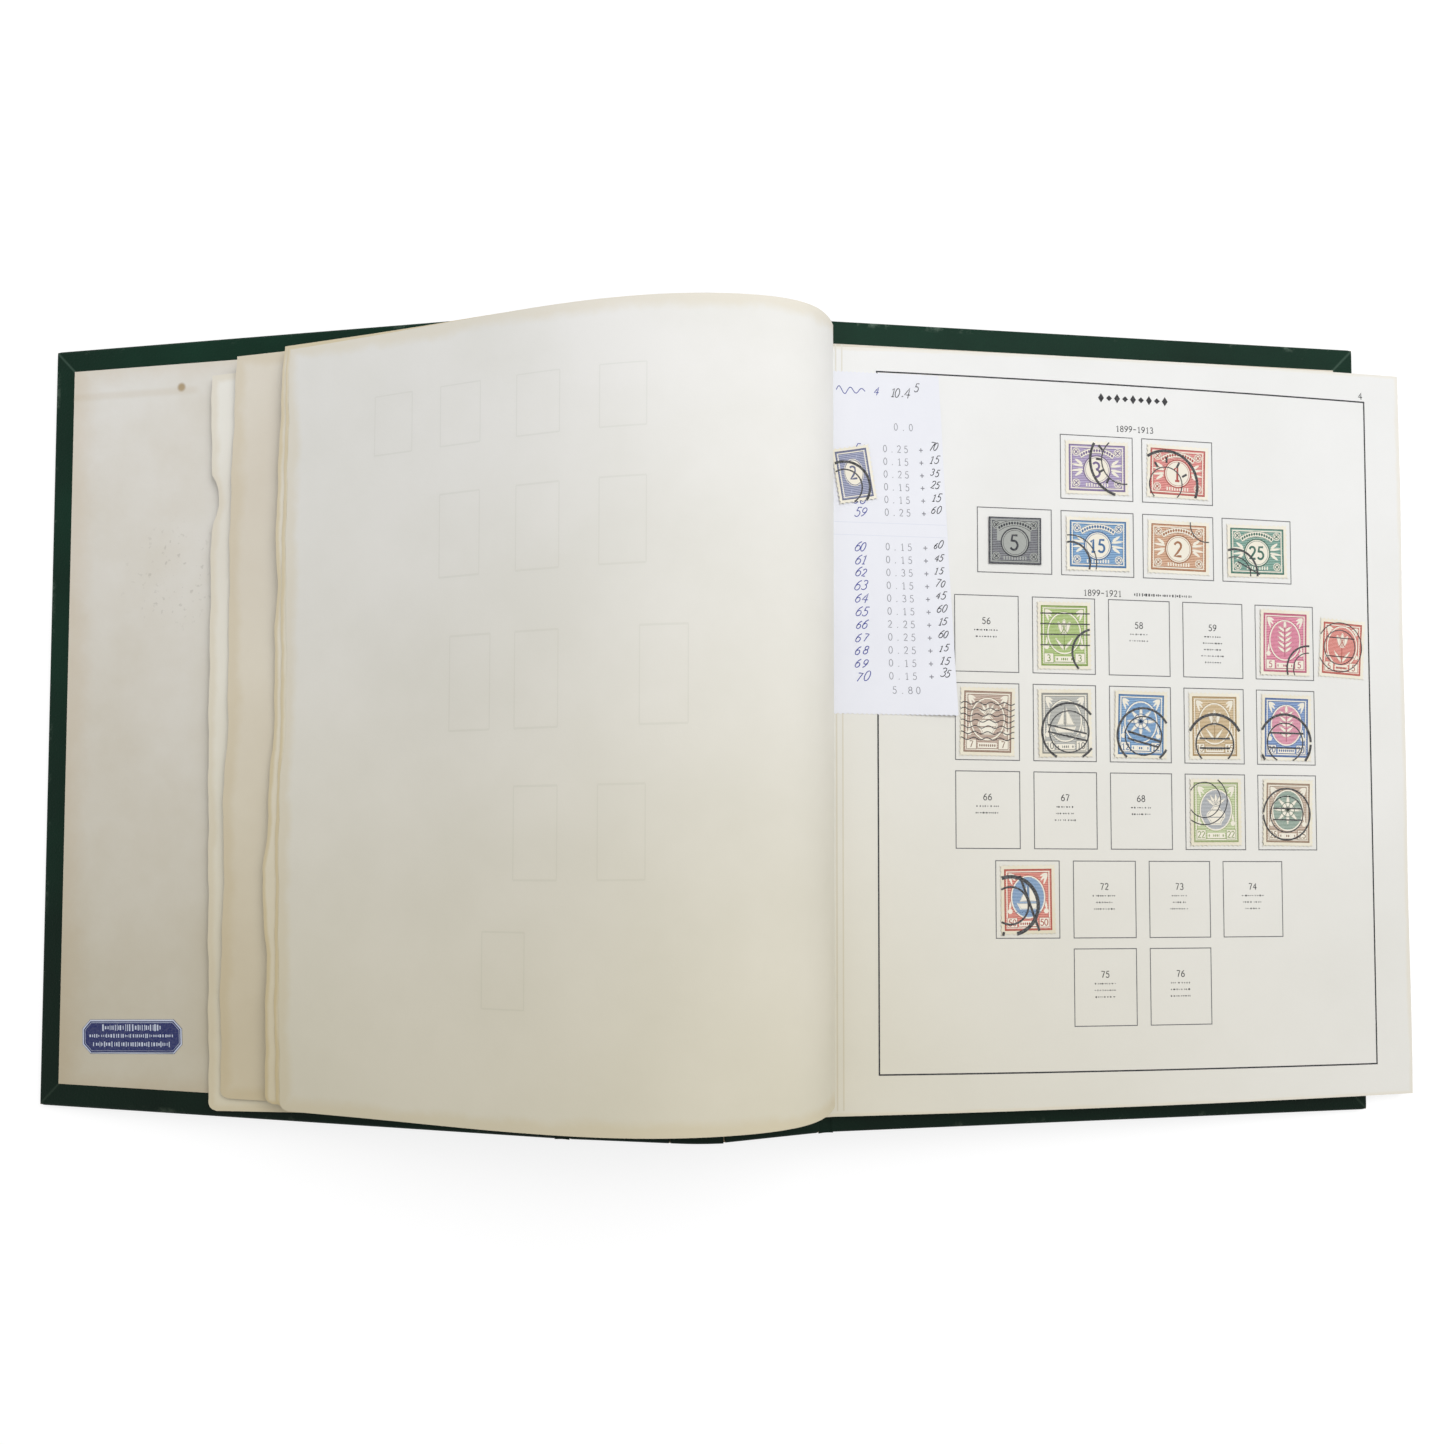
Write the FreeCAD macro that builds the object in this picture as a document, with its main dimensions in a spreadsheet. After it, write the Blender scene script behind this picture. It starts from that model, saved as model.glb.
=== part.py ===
import FreeCAD, Part
import math
import os

# A spring-back stamp album, lying open near its front.
# Frame: X runs from the front cover to the back cover, Y from the foot of the leaves to their head, Z up.
# The origin lies on the table, in the middle of the open album. All sizes are millimetres and degrees.

V = FreeCAD.Vector
UP = V(0, 1, 0)

driving_sizes = {
    # Covers
    "cover_height": 288.0,
    "board_length": 205.5,
    "lever_length": 36.0,
    "joint_half": 2.0,
    "board_thick": 2.4,
    "cloth_thick": 0.4,
    "turn_in": 14.0,
    "endpaper_margin": 8.6,
    "endpaper_thick": 0.2,
    "front_lever_tilt": 7.4,
    "back_lever_tilt": 20.5,
    "lever_start": 3.2,
    "label_length": 42.0,
    "label_height": 12.6,
    "label_corner": 3.4,
    "label_thick": 0.12,
    "label_edge_gap": 10.0,
    "label_foot_gap": 12.6,
    "label_turn": 2.5,
    # Spring spine
    "spring_radius": 22.9,
    "spring_thick": 0.9,
    "spine_inset": 3.0,
    "spine_cloth_thick": 0.6,
    "spine_cloth_gap": 0.1,
    "jaw_round": 2.1,
    "jaw_depth": 7.5,
    "jaw_stand": 1.8,
    "jaw_groove_depth": 2.2,
    "jaw_groove_gap": 0.1,
    "jaw_side_gap": 0.2,
    # Leaves
    "leaf_height": 270.0,
    "leaf_width": 222.4,
    "leaf_thick": 0.28,
    "leaf_pitch": 0.32,
    "leaves_left": 5.0,
    "leaves_right": 14.0,
    "leaf_shift": -2.2,
    "grip_clear": 0.18,
    "grip_depth": 14.0,
    "fore_edge_lift": 0.15,
    "stack_bulge": 2.8,
    "turn_radius": 3.0,
    "turn_short": 5.6,
    "hump_height": 32.0,
    "left_leaf_shift": 1.6,
    "left_leaf_skew": 0.0255,
    # Printed page and what lies on it
    "page_middle": 115.3,
    "page_turn": -0.7,
    "upright_pitch": 28.8,
    "upright_width": 20.6,
    "upright_height": 24.8,
    "wide_pitch": 31.3,
    "wide_width": 24.6,
    "wide_height": 20.0,
    "small_width": 19.4,
    "small_height": 16.8,
    "extra_width": 19.1,
    "extra_height": 22.3,
    "stamp_thick": 0.1,
    "stamp_lift": 0.08,
    "hinge_width": 12.0,
    "hinge_height": 8.0,
    "hinge_thick": 0.06,
    "hinge_lift": 0.01,
    "slip_width": 43.0,
    "slip_length": 121.0,
    "slip_thick": 0.1,
    "slip_lift": 0.02,
    "slip_start": 2.0,
    "slip_head_gap": 10.5,
    "loose_width": 14.0,
    "loose_height": 20.0,
    "loose_start": 2.6,
    "loose_head_gap": 37.0,
    "loose_turn": 10.0,
    "loose_lift": 0.3,
}

os.makedirs("parts", exist_ok=True)
doc = FreeCAD.newDocument("stamp_album")
sheet = doc.addObject("Spreadsheet::Sheet", "sizes")
for row, (alias, value) in enumerate(driving_sizes.items(), start=1):
    sheet.set("A%d" % row, alias)
    sheet.set("B%d" % row, str(value))
    sheet.setAlias("B%d" % row, alias)
doc.recompute()

nodes = []


def size(alias):
    return float(sheet.get(alias))


def place(point, turn=FreeCAD.Rotation()):
    return FreeCAD.Placement(V(*point), turn)


def keep(thing, label):
    thing.Label = label
    nodes.append(thing)
    return thing


def bound(kind, name, **sizes):
    thing = doc.addObject(kind, name)
    for key, formula in sizes.items():
        thing.setExpression(key, formula)
    return thing


def cut(base, tool, name):
    thing = doc.addObject("Part::Cut", name)
    thing.Base = base
    thing.Tool = tool
    return thing


def padded(name, outline, length):
    """Body with one closed outline of (X, Z) corners, padded evenly to both sides along Y."""
    body = doc.addObject("PartDesign::Body", name)
    plane = next(item for item in body.Origin.OriginFeatures if item.Role == "XZ_Plane")
    sketch = body.newObject("Sketcher::SketchObject", name + "_outline")
    sketch.AttachmentSupport = [(plane, "")]
    sketch.MapMode = "FlatFace"
    for curve in outline:
        sketch.addGeometry(curve, False)
    pad = body.newObject("PartDesign::Pad", name + "_pad")
    pad.Profile = sketch
    pad.SideType = "Symmetric"
    pad.setExpression("Length", length)
    return body


def polygon(corners):
    ends = corners[1:] + corners[:1]
    return [Part.LineSegment(V(a[0], a[1], 0), V(b[0], b[1], 0)) for a, b in zip(corners, ends)]


def solid_feature(name, shape):
    thing = doc.addObject("Part::Feature", name)
    thing.Shape = shape
    return thing


# Section geometry that several pieces share, as (X, Z) pairs in the section through the spine

def add(a, b, factor=1.0):
    return (a[0] + factor * b[0], a[1] + factor * b[1])


def heading(degrees):
    return (math.cos(math.radians(degrees)), math.sin(math.radians(degrees)))


def left_normal(direction):
    return (-direction[1], direction[0])


cover_thick = size("board_thick") + 2 * size("cloth_thick")
spine_radius = size("spring_radius") + size("spine_cloth_gap") + size("spine_cloth_thick")
spine_length = "sizes.cover_height - 2 * sizes.spine_inset"
leaf_count = int(size("leaves_left") + size("leaves_right"))
stack_thick = (leaf_count - 1) * size("leaf_pitch")
inner_radius = size("jaw_round") + size("grip_clear") + size("leaf_thick") / 2
grip_half = stack_thick / 2 + inner_radius - size("jaw_round")
jaw_x = grip_half + size("jaw_round")
jaw_z = spine_radius + size("spring_radius") + size("jaw_stand")
lever_reach = size("lever_start") + size("lever_length") + size("joint_half")


def board_tilt(crease_z):
    reach = size("joint_half") + size("board_length")
    return math.degrees(math.asin(crease_z / math.hypot(reach, cover_thick)) - math.atan2(cover_thick, reach))


class Side:
    """One cover seen in section: sign is -1 for the front cover, +1 for the back cover."""

    def __init__(self, sign, tilt):
        self.sign = sign
        self.lever_tilt = tilt
        self.jaw = (sign * jaw_x, jaw_z)
        self.along = (sign * math.cos(math.radians(tilt)), -math.sin(math.radians(tilt)))
        self.normal = (sign * math.sin(math.radians(tilt)), math.cos(math.radians(tilt)))
        face = add(self.jaw, self.normal, size("jaw_round"))
        self.lever = add(face, self.along, size("lever_start"))
        self.crease = add(face, self.along, lever_reach)
        self.tilt = board_tilt(self.crease[1])
        self.board_along = (sign * math.cos(math.radians(self.tilt)), -math.sin(math.radians(self.tilt)))
        self.board_normal = (sign * math.sin(math.radians(self.tilt)), math.cos(math.radians(self.tilt)))
        self.board = add(self.crease, self.board_along, size("joint_half"))

    def placement(self, point, tilt):
        turn = FreeCAD.Rotation(UP, self.sign * tilt)
        if self.sign < 0:
            turn = turn.multiply(FreeCAD.Rotation(V(0, 0, 1), 180))
        return place((point[0], 0, point[1]), turn)

    def lever_place(self):
        return self.placement(self.lever, self.lever_tilt)

    def board_place(self):
        return self.placement(self.board, self.tilt)


front = Side(-1, size("front_lever_tilt"))
back = Side(1, size("back_lever_tilt"))


# Spring spine

def ring(name, outer, inner):
    """Tube along Y round the spring's centre line."""
    shell = bound("Part::Cylinder", name + "_outside", Radius=outer, Height="sizes.cover_height")
    bore = bound("Part::Cylinder", name + "_inside", Radius=inner, Height="sizes.cover_height")
    start = place((0, size("cover_height") / 2, spine_radius), FreeCAD.Rotation(V(1, 0, 0), 90))
    shell.Placement = start
    bore.Placement = start
    return shell, bore


def spine_tube(name, outer, inner, half_mouth):
    shell, bore = ring(name, outer, inner)
    for tube in (shell, bore):
        tube.setExpression("Height", spine_length)
        tube.Placement.Base.y = size("cover_height") / 2 - size("spine_inset")
    mouth = bound("Part::Box", name + "_mouth", Length="2 * (%s)" % half_mouth,
                  Width="sizes.cover_height", Height="2 * sizes.spring_radius")
    half = mouth.Length.Value / 2
    mouth.Placement = place((-half, -size("cover_height") / 2, spine_radius))
    return cut(cut(shell, bore, name + "_tube"), mouth, name)


jaw_half = "(%.4f)" % (jaw_x + size("jaw_round"))
outside = "sizes.spring_radius"
inside = "sizes.spring_radius - sizes.spring_thick"
doc.recompute()
spring = spine_tube("spring_back", outside, inside, jaw_half + " - sizes.jaw_groove_depth")
keep(spring, "spring_back")
cloth_inside = "sizes.spring_radius + sizes.spine_cloth_gap"
spine_cover = spine_tube("spine_cover", cloth_inside + " + sizes.spine_cloth_thick", cloth_inside,
                         jaw_half + " + sizes.jaw_side_gap")
keep(spine_cover, "spine_cover")
doc.recompute()
for tube in (spring, spine_cover):
    mouth = tube.Tool
    mouth.Placement.Base.x = -mouth.Length.Value / 2


def jaw(side, label):
    """Steel rail with a round lip, and a groove that is crimped on the edge of the spring."""
    low = jaw_z - size("jaw_depth")
    near = side.jaw[0] - size("jaw_round")
    far = side.jaw[0] + size("jaw_round")
    outline = [
        Part.LineSegment(V(near, low, 0), V(near, jaw_z, 0)),
        Part.Arc(V(near, jaw_z, 0), V(side.jaw[0], jaw_z + size("jaw_round"), 0), V(far, jaw_z, 0)),
        Part.LineSegment(V(far, jaw_z, 0), V(far, low, 0)),
        Part.LineSegment(V(far, low, 0), V(near, low, 0)),
    ]
    rail = padded(label + "_rail", outline, spine_length)
    shell, bore = ring(label + "_groove", outside + " + sizes.jaw_groove_gap", inside + " - sizes.jaw_groove_gap")
    groove = cut(shell, bore, label + "_groove")
    web = bound("Part::Box", label + "_web", Length="2 * sizes.jaw_round - sizes.jaw_groove_depth",
                Width="2 * sizes.cover_height", Height="4 * sizes.spring_radius")
    doc.recompute()
    web_x = near if side.sign > 0 else far - web.Length.Value
    web.Placement = place((web_x, -size("cover_height"), 0))
    keep(cut(rail, cut(groove, web, label + "_groove_open"), label), label)


jaw(front, "front_jaw")
jaw(back, "back_jaw")


# Covers: a lever strip beside the mouth, a cloth joint, then the board

def slab(name, placement, start, length, width, low, thick):
    """Box in a cover's own frame: X away from the spine, Y across its middle, Z out of its inner face."""
    box = bound("Part::Box", name, Length=length, Width=width, Height=thick)
    doc.recompute()
    box.Placement = placement.multiply(place((start, -box.Width.Value / 2, low)))
    return box


def lever(side, name):
    spot = side.lever_place()
    low = -cover_thick + size("cloth_thick")
    inner = "sizes.cover_height - 2 * sizes.cloth_thick"
    thick = "sizes.board_thick + 2 * sizes.cloth_thick"
    keep(slab(name + "_lever", spot, 0, "sizes.lever_length", inner, low, "sizes.board_thick"), name + "_lever")
    hollow = slab(name + "_lever_hollow", spot, 0, "sizes.lever_length", inner, low, "sizes.board_thick")
    wrap = slab(name + "_lever_wrap", spot, 0, "sizes.lever_length", "sizes.cover_height", -cover_thick, thick)
    keep(cut(wrap, hollow, name + "_lever_cloth"), name + "_lever_cloth")


def board(side, name):
    spot = side.board_place()
    low = -cover_thick + size("cloth_thick")
    length = "sizes.board_length - sizes.cloth_thick"
    inner = "sizes.cover_height - 2 * sizes.cloth_thick"
    thick = "sizes.board_thick + 2 * sizes.cloth_thick"
    keep(slab(name + "_board", spot, 0, length, inner, low, "sizes.board_thick"), name + "_board")
    hollow = slab(name + "_board_hollow", spot, 0, length, inner, low, "sizes.board_thick")
    wrap = slab(name + "_board_wrap", spot, 0, "sizes.board_length", "sizes.cover_height", -cover_thick, thick)
    window = slab(name + "_board_window", spot, 0, "sizes.board_length - sizes.turn_in",
                  "sizes.cover_height - 2 * sizes.turn_in", -size("cloth_thick"), "sizes.cloth_thick")
    sleeve = cut(wrap, hollow, name + "_board_sleeve")
    keep(cut(sleeve, window, name + "_board_cloth"), name + "_board_cloth")
    keep(slab(name + "_endpaper", spot, 0, "sizes.board_length - sizes.endpaper_margin",
              "sizes.cover_height - 2 * sizes.endpaper_margin", 0, "sizes.endpaper_thick"), name + "_endpaper")


def lip_cloth(side, name):
    """Strip of cloth from the side of the jaw to the end of the lever."""
    gap = 0.05
    half = size("cloth_thick")
    jaw_side = side.jaw[0] + side.sign * (size("jaw_round") + gap)
    middle = add(add(side.lever, side.normal, -cover_thick / 2), side.along, -gap)
    corners = [(jaw_side, jaw_z - 2 * half), (jaw_side, jaw_z), add(middle, side.normal, half),
               add(middle, side.normal, -half)]
    keep(padded(name + "_lip_cloth", polygon(corners), "sizes.cover_height"), name + "_lip_cloth")


def joint_cloth(side, name):
    """Cloth at the bottom of the groove between lever and board."""
    gap = 0.05
    reach = size("joint_half") - gap
    low = -cover_thick + gap
    high = low + size("cloth_thick")
    lever_end = add(side.crease, side.along, -reach)
    board_start = add(side.crease, side.board_along, reach)
    corners = [add(lever_end, side.normal, low), add(lever_end, side.normal, high),
               add(board_start, side.board_normal, high), add(board_start, side.board_normal, low)]
    keep(padded(name + "_joint_cloth", polygon(corners), "sizes.cover_height"), name + "_joint_cloth")


for side, name in ((front, "front"), (back, "back")):
    lever(side, name)
    lip_cloth(side, name)
    joint_cloth(side, name)
    board(side, name)


def shop_label():
    """Small octagonal paper label near the foot of the front endpaper."""
    half_length = size("label_length") / 2
    half_height = size("label_height") / 2
    corner = size("label_corner")
    body = doc.addObject("PartDesign::Body", "shop_label")
    plane = next(item for item in body.Origin.OriginFeatures if item.Role == "XY_Plane")
    sketch = body.newObject("Sketcher::SketchObject", "shop_label_outline")
    sketch.AttachmentSupport = [(plane, "")]
    sketch.MapMode = "FlatFace"
    quarter = [(half_length, half_height - corner), (half_length - corner, half_height)]
    upper = quarter + [(-x, y) for x, y in reversed(quarter)]
    for curve in polygon(upper + [(-x, -y) for x, y in upper]):
        sketch.addGeometry(curve, False)
    pad = body.newObject("PartDesign::Pad", "shop_label_pad")
    pad.Profile = sketch
    pad.setExpression("Length", "sizes.label_thick")
    edge = size("board_length") - size("endpaper_margin") - size("label_edge_gap")
    foot = size("cover_height") / 2 - size("endpaper_margin") - size("label_foot_gap")
    spot = place((edge - half_length, foot - half_height, size("endpaper_thick")),
                 FreeCAD.Rotation(V(0, 0, 1), size("label_turn")))
    body.Placement = front.board_place().multiply(spot)
    keep(body, "shop_label")


shop_label()


# Leaves: every leaf rises in the mouth, bends over the back jaw and runs along the back lever to its fold

def point3(pair, y):
    return V(pair[0], y, pair[1])


def stub(offset, reach):
    """Edges of one leaf face from the mouth to the given reach along the lever."""
    y = -size("leaf_height") / 2
    radius = inner_radius + offset
    foot = (jaw_x - radius, jaw_z - size("grip_depth"))
    rise = (jaw_x - radius, jaw_z)
    over = add(back.jaw, back.normal, radius)
    crown = add(back.jaw, heading((180 + 90 - back.lever_tilt) / 2), radius)
    end = add(over, back.along, reach)
    return [
        Part.LineSegment(point3(foot, y), point3(rise, y)),
        Part.Arc(point3(rise, y), point3(crown, y), point3(over, y)),
        Part.LineSegment(point3(over, y), point3(end, y)),
    ]


def sheet_solid(lower, upper, low_y, high_y):
    """Thin solid between two rows of curves, drawn out along Y."""
    first = [curve.toShape() for curve in lower]
    second = [curve.toShape() for curve in upper]
    fore_edge = Part.makeLine(lower[-1].EndPoint, upper[-1].EndPoint)
    clamp_edge = Part.makeLine(lower[0].StartPoint, upper[0].StartPoint)
    outline = Part.Wire(Part.__sortEdges__(first + [fore_edge] + second + [clamp_edge]))
    solid = Part.Face(outline).extrude(V(0, high_y - low_y, 0))
    solid.translate(V(0, low_y + size("leaf_height") / 2, 0))
    return solid


fold_start = add(back.crease, back.normal, inner_radius - size("jaw_round"))
fold_end = add(add(back.crease, back.board_along, size("leaf_width")), back.board_normal,
               size("endpaper_thick") + size("fore_edge_lift"))
chord = add(fold_end, fold_start, -1.0)
chord_heading = math.degrees(math.atan2(chord[1], chord[0]))
bulge_angle = math.degrees(math.atan(4 * size("stack_bulge") / size("leaf_width")))
leave_along = heading(chord_heading + bulge_angle)
arrive_along = heading(chord_heading - bulge_angle)
handles = [fold_start, add(fold_start, leave_along, size("leaf_width") / 3),
           add(fold_end, arrive_along, -size("leaf_width") / 3), fold_end]


def rest_curve(share):
    """Point and unit direction on the lowest right leaf, a shallow arch from its fold to its fore-edge."""
    keep_share = 1 - share
    weights = (keep_share ** 3, 3 * keep_share ** 2 * share, 3 * keep_share * share ** 2, share ** 3)
    slopes = (keep_share ** 2, 2 * keep_share * share, share ** 2)
    point = tuple(sum(w * p[axis] for w, p in zip(weights, handles)) for axis in (0, 1))
    steps = [add(b, a, -1.0) for a, b in zip(handles[:-1], handles[1:])]
    way = tuple(sum(w * step[axis] for w, step in zip(slopes, steps)) for axis in (0, 1))
    length = math.hypot(*way)
    return point, (way[0] / length, way[1] / length)


def rest_point(share, offset):
    point, way = rest_curve(share)
    return add(point, left_normal(way), offset)


def right_face(offset):
    """One face of a right leaf: its stub, then the rest of it lying over the back board."""
    y = -size("leaf_height") / 2
    crease_half = (math.radians(back.lever_tilt) + math.atan2(leave_along[1], leave_along[0])) / 2
    middle = add(back.normal, left_normal(leave_along))
    span = math.hypot(*middle)
    fold = add(fold_start, (middle[0] / span, middle[1] / span), offset / math.cos(crease_half))
    edges = stub(offset, lever_reach)
    edges[-1] = Part.LineSegment(edges[-1].StartPoint, point3(fold, y))
    shares = [step / 8 for step in range(1, 9)]
    lying = Part.BSplineCurve()
    lying.interpolate(Points=[point3(fold, y)] + [point3(rest_point(share, offset), y) for share in shares])
    return edges + [lying]


def right_leaf(index):
    offset = index * size("leaf_pitch")
    half = size("leaf_thick") / 2
    low_y = size("leaf_shift") - size("leaf_height") / 2
    return sheet_solid(right_face(offset - half), right_face(offset + half), low_y, low_y + size("leaf_height"))


top_index = int(size("leaves_right")) - 1
keep(solid_feature("leaf_block", Part.makeCompound([right_leaf(index) for index in range(top_index)])), "leaf_block")
keep(solid_feature("leaf_4", right_leaf(top_index)), "leaf_4")


# Left leaves: past the fold each one turns back over the spine and comes down on the front cover

def over_cover(reach, lift):
    """Point above the front board: reach is a share of the leaf's width, lift one of the hump's height."""
    x = front.crease[0] - reach * size("leaf_width")
    drop = (front.crease[0] - x) * math.tan(math.radians(front.tilt))
    return (x, front.crease[1] - drop + lift * size("hump_height"))


def over_spine(side, reach, lift):
    """Point above the spine: reach from a jaw is a share of the lever's reach, lift one of the hump's height."""
    return (side.jaw[0] + reach * lever_reach, jaw_z + lift * size("hump_height"))


first_offset = (leaf_count - 1) * size("leaf_pitch")
turn_reach = lever_reach - size("turn_short")
turn_foot = add(add(back.jaw, back.normal, inner_radius + first_offset), back.along, turn_reach)
turn_centre = add(turn_foot, back.normal, size("turn_radius"))
low_path = [over_spine(back, 0.55, 0.19), over_spine(back, -0.01, 0.39), over_spine(front, -0.48, 0.27),
            over_cover(0.13, 0.17), over_cover(0.375, 0.125), over_cover(0.587, 0.1)]
high_path = [over_spine(back, 0.8, 0.56), over_spine(back, 0.16, 0.94), over_spine(front, -0.48, 0.93),
             over_cover(0.084, 0.8), over_cover(0.286, 0.547), over_cover(0.457, 0.356)]
# Each left leaf: label, heading in which it leaves its turn, share of the hump's height at the turn and fore-edge
left_leaves = (("flyleaf", 158.0, 0.0, 0.0), ("title_leaf", 140.0, 0.26, 0.31), ("leaf_1", 109.0, 0.9, 0.84),
               ("leaf_2", 105.0, 0.95, 0.93), ("leaf_3", 102.0, 1.0, 1.0))


def left_leaf(order, leave, near_spread, far_spread):
    offset = (leaf_count - 1 - order) * size("leaf_pitch")
    radius = size("turn_radius") + order * size("leaf_pitch")
    half = size("leaf_thick") / 2
    y = -size("leaf_height") / 2
    points = [point3(add(turn_centre, heading(leave - 90), radius), y)]
    for step, (low, high) in enumerate(zip(low_path, high_path)):
        far_share = step / (len(low_path) - 1)
        share = near_spread + (far_spread - near_spread) * far_share
        points.append(point3(add(low, add(high, low, -1.0), share), y))
    middle = Part.BSplineCurve()
    ways = [point3(heading(leave), 0)] * len(points)
    middle.interpolate(Points=points, Tangents=ways, TangentFlags=[True] + [False] * (len(points) - 1))
    span = middle.LastParameter - middle.FirstParameter
    faces = []
    for shift in (-half, half):
        turn_start = add(turn_centre, back.normal, shift - radius)
        turn_middle = add(turn_centre, heading((leave - back.lever_tilt) / 2 - 90), radius - shift)
        turn_end = add(turn_centre, heading(leave - 90), radius - shift)
        bend = Part.Arc(point3(turn_start, y), point3(turn_middle, y), point3(turn_end, y))
        edge_points = [point3(turn_end, y)]
        for step in range(1, 33):
            value = middle.FirstParameter + step / 32 * span
            way = middle.tangent(value)[0]
            edge_points.append(middle.value(value).add(V(-way.z, 0, way.x).multiply(shift)))
        face = Part.BSplineCurve()
        face.interpolate(Points=edge_points)
        faces.append(stub(offset + shift, turn_reach) + [bend, face])
    full = 2 * size("leaf_height")
    solid = sheet_solid(faces[0], faces[1], -full / 2, full / 2)
    return solid.common(leaf_trim())


def leaf_trim():
    """Upright block that trims the left leaves, a little askew, to their height."""
    near = front.jaw[0] - size("leaf_width")
    far = turn_centre[0] + size("leaf_width")
    half = size("leaf_height") / 2
    corners = []
    for x, edge in ((near, -half), (far, -half), (far, half), (near, half)):
        skew = size("left_leaf_shift") + size("left_leaf_skew") * (x - front.jaw[0])
        corners.append(V(x, edge + skew, 0))
    outline = Part.makePolygon(corners + corners[:1])
    return Part.Face(outline).extrude(V(0, 0, jaw_z + 2 * size("hump_height")))


for order, (label, leave, near_spread, far_spread) in enumerate(left_leaves):
    keep(solid_feature(label, left_leaf(order, leave, near_spread, far_spread)), label)


# Stamps, their gummed hinges, the paper slip and the loose stamp on the open page

page_top = top_index * size("leaf_pitch") + size("leaf_thick") / 2


def page_place(along, across, lift, turn):
    """Frame on the open page: along from the fold, across from its middle, lift above the paper."""
    steps = 200
    travelled = 0.0
    last = rest_point(0.0, page_top)
    for step in range(1, steps + 1):
        point = rest_point(step / steps, page_top)
        travelled += math.hypot(*add(point, last, -1.0))
        last = point
        if travelled >= along:
            break
    way = rest_curve(step / steps)[1]
    spot = add(last, left_normal(way), lift)
    tilt = FreeCAD.Rotation(UP, -math.degrees(math.atan2(way[1], way[0])))
    askew = FreeCAD.Rotation(V(0, 0, 1), turn)
    skew = math.tan(math.radians(size("page_turn"))) * (along - size("page_middle"))
    return place((spot[0], size("leaf_shift") + across + skew, spot[1]), tilt.multiply(askew))


def paper_box(name, width, height, thick, along, across, lift, turn):
    box = bound("Part::Box", name, Length=width, Width=height, Height=thick)
    doc.recompute()
    centre = place((-box.Length.Value / 2, -box.Width.Value / 2, 0))
    box.Placement = page_place(along, across, lift, turn).multiply(centre)
    return box


upright = ("sizes.upright_width", "sizes.upright_height", "upright_pitch")
wide = ("sizes.wide_width", "sizes.wide_height", "wide_pitch")
small = ("sizes.small_width", "sizes.small_height", "wide_pitch")
extra = ("sizes.extra_width", "sizes.extra_height", "upright_pitch")
# Rows of stamps: height on the page as a share of the leaf's height, kind of stamp, columns from the middle
stamp_rows = (
    (0.349, wide, (-0.5, 0.5)),
    (0.246, small, (-1.5,)),
    (0.246, wide, (-0.5, 0.5, 1.5)),
    (0.1215, upright, (-1, 2)),
    (0.116, extra, (2.82,)),
    (0.005, upright, (-2, -1, 0, 1, 2)),
    (-0.111, upright, (1, 2)),
    (-0.228, upright, (-1.5,)),
)

count = 0
hinges = []
for share, (width, height, pitch), columns in stamp_rows:
    across = share * size("leaf_height")
    for column in columns:
        count += 1
        label = "stamp_%02d" % count
        along = size("page_middle") + column * size(pitch)
        turn = size("page_turn")
        stamp = paper_box(label, width, height, "sizes.stamp_thick", along, across, size("stamp_lift"), turn)
        keep(stamp, label)
        hinge_across = across + (stamp.Width.Value - size("hinge_height")) / 2 - 2.0
        hinges.append(paper_box(label + "_hinge", "sizes.hinge_width", "sizes.hinge_height", "sizes.hinge_thick",
                                along, hinge_across, size("hinge_lift"), turn))
hinge_group = doc.addObject("Part::Compound", "stamp_hinges")
hinge_group.Links = hinges
keep(hinge_group, "stamp_hinges")

page_head = size("leaf_height") / 2
slip_across = page_head - size("slip_head_gap") - size("slip_length") / 2
loose_across = page_head - size("loose_head_gap") - size("loose_height") / 2
slip = paper_box("price_slip", "sizes.slip_width", "sizes.slip_length", "sizes.slip_thick",
                 size("slip_start") + size("slip_width") / 2, slip_across, size("slip_lift"), 0)
keep(slip, "price_slip")
loose = paper_box("loose_stamp", "sizes.loose_width", "sizes.loose_height", "sizes.stamp_thick",
                  size("loose_start") + size("loose_width") / 2, loose_across, size("loose_lift"),
                  size("loose_turn"))
keep(loose, "loose_stamp")

# The origin lies midway between the edge of the front cover and the fore-edges of the right leaves

album_left = add(front.board, front.board_along, size("board_length"))[0]
album_right = rest_point(1.0, page_top)[0]
doc.recompute()
for node in nodes:
    node.Placement = place((-(album_left + album_right) / 2, 0, 0)).multiply(node.Placement)

# Check everything, then write one file for each piece

doc.recompute()
for thing in doc.Objects:
    if "Invalid" in thing.State or "Error" in thing.State:
        raise RuntimeError("failed object: " + thing.Label)
for node in nodes:
    if node.Shape.isNull() or not node.Shape.isValid():
        raise RuntimeError("bad shape: " + node.Label)
for node in nodes:
    node.Shape.exportStep("parts/%s.step" % node.Label)
    print(node.Label, len(node.Shape.Solids), "solids", round(node.Shape.Volume, 2), "mm3")
print("front crease", front.crease, "board tilt", front.tilt)
print("back crease", back.crease, "board tilt", back.tilt)
print("leaf fold", rest_point(0.0, page_top), "fore-edge", rest_point(1.0, page_top))
print("turn centre", turn_centre, "whole album moved by", -(album_left + album_right) / 2)
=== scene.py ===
import math
import bmesh
import bpy
import numpy as np
from mathutils import Matrix, Vector


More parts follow.
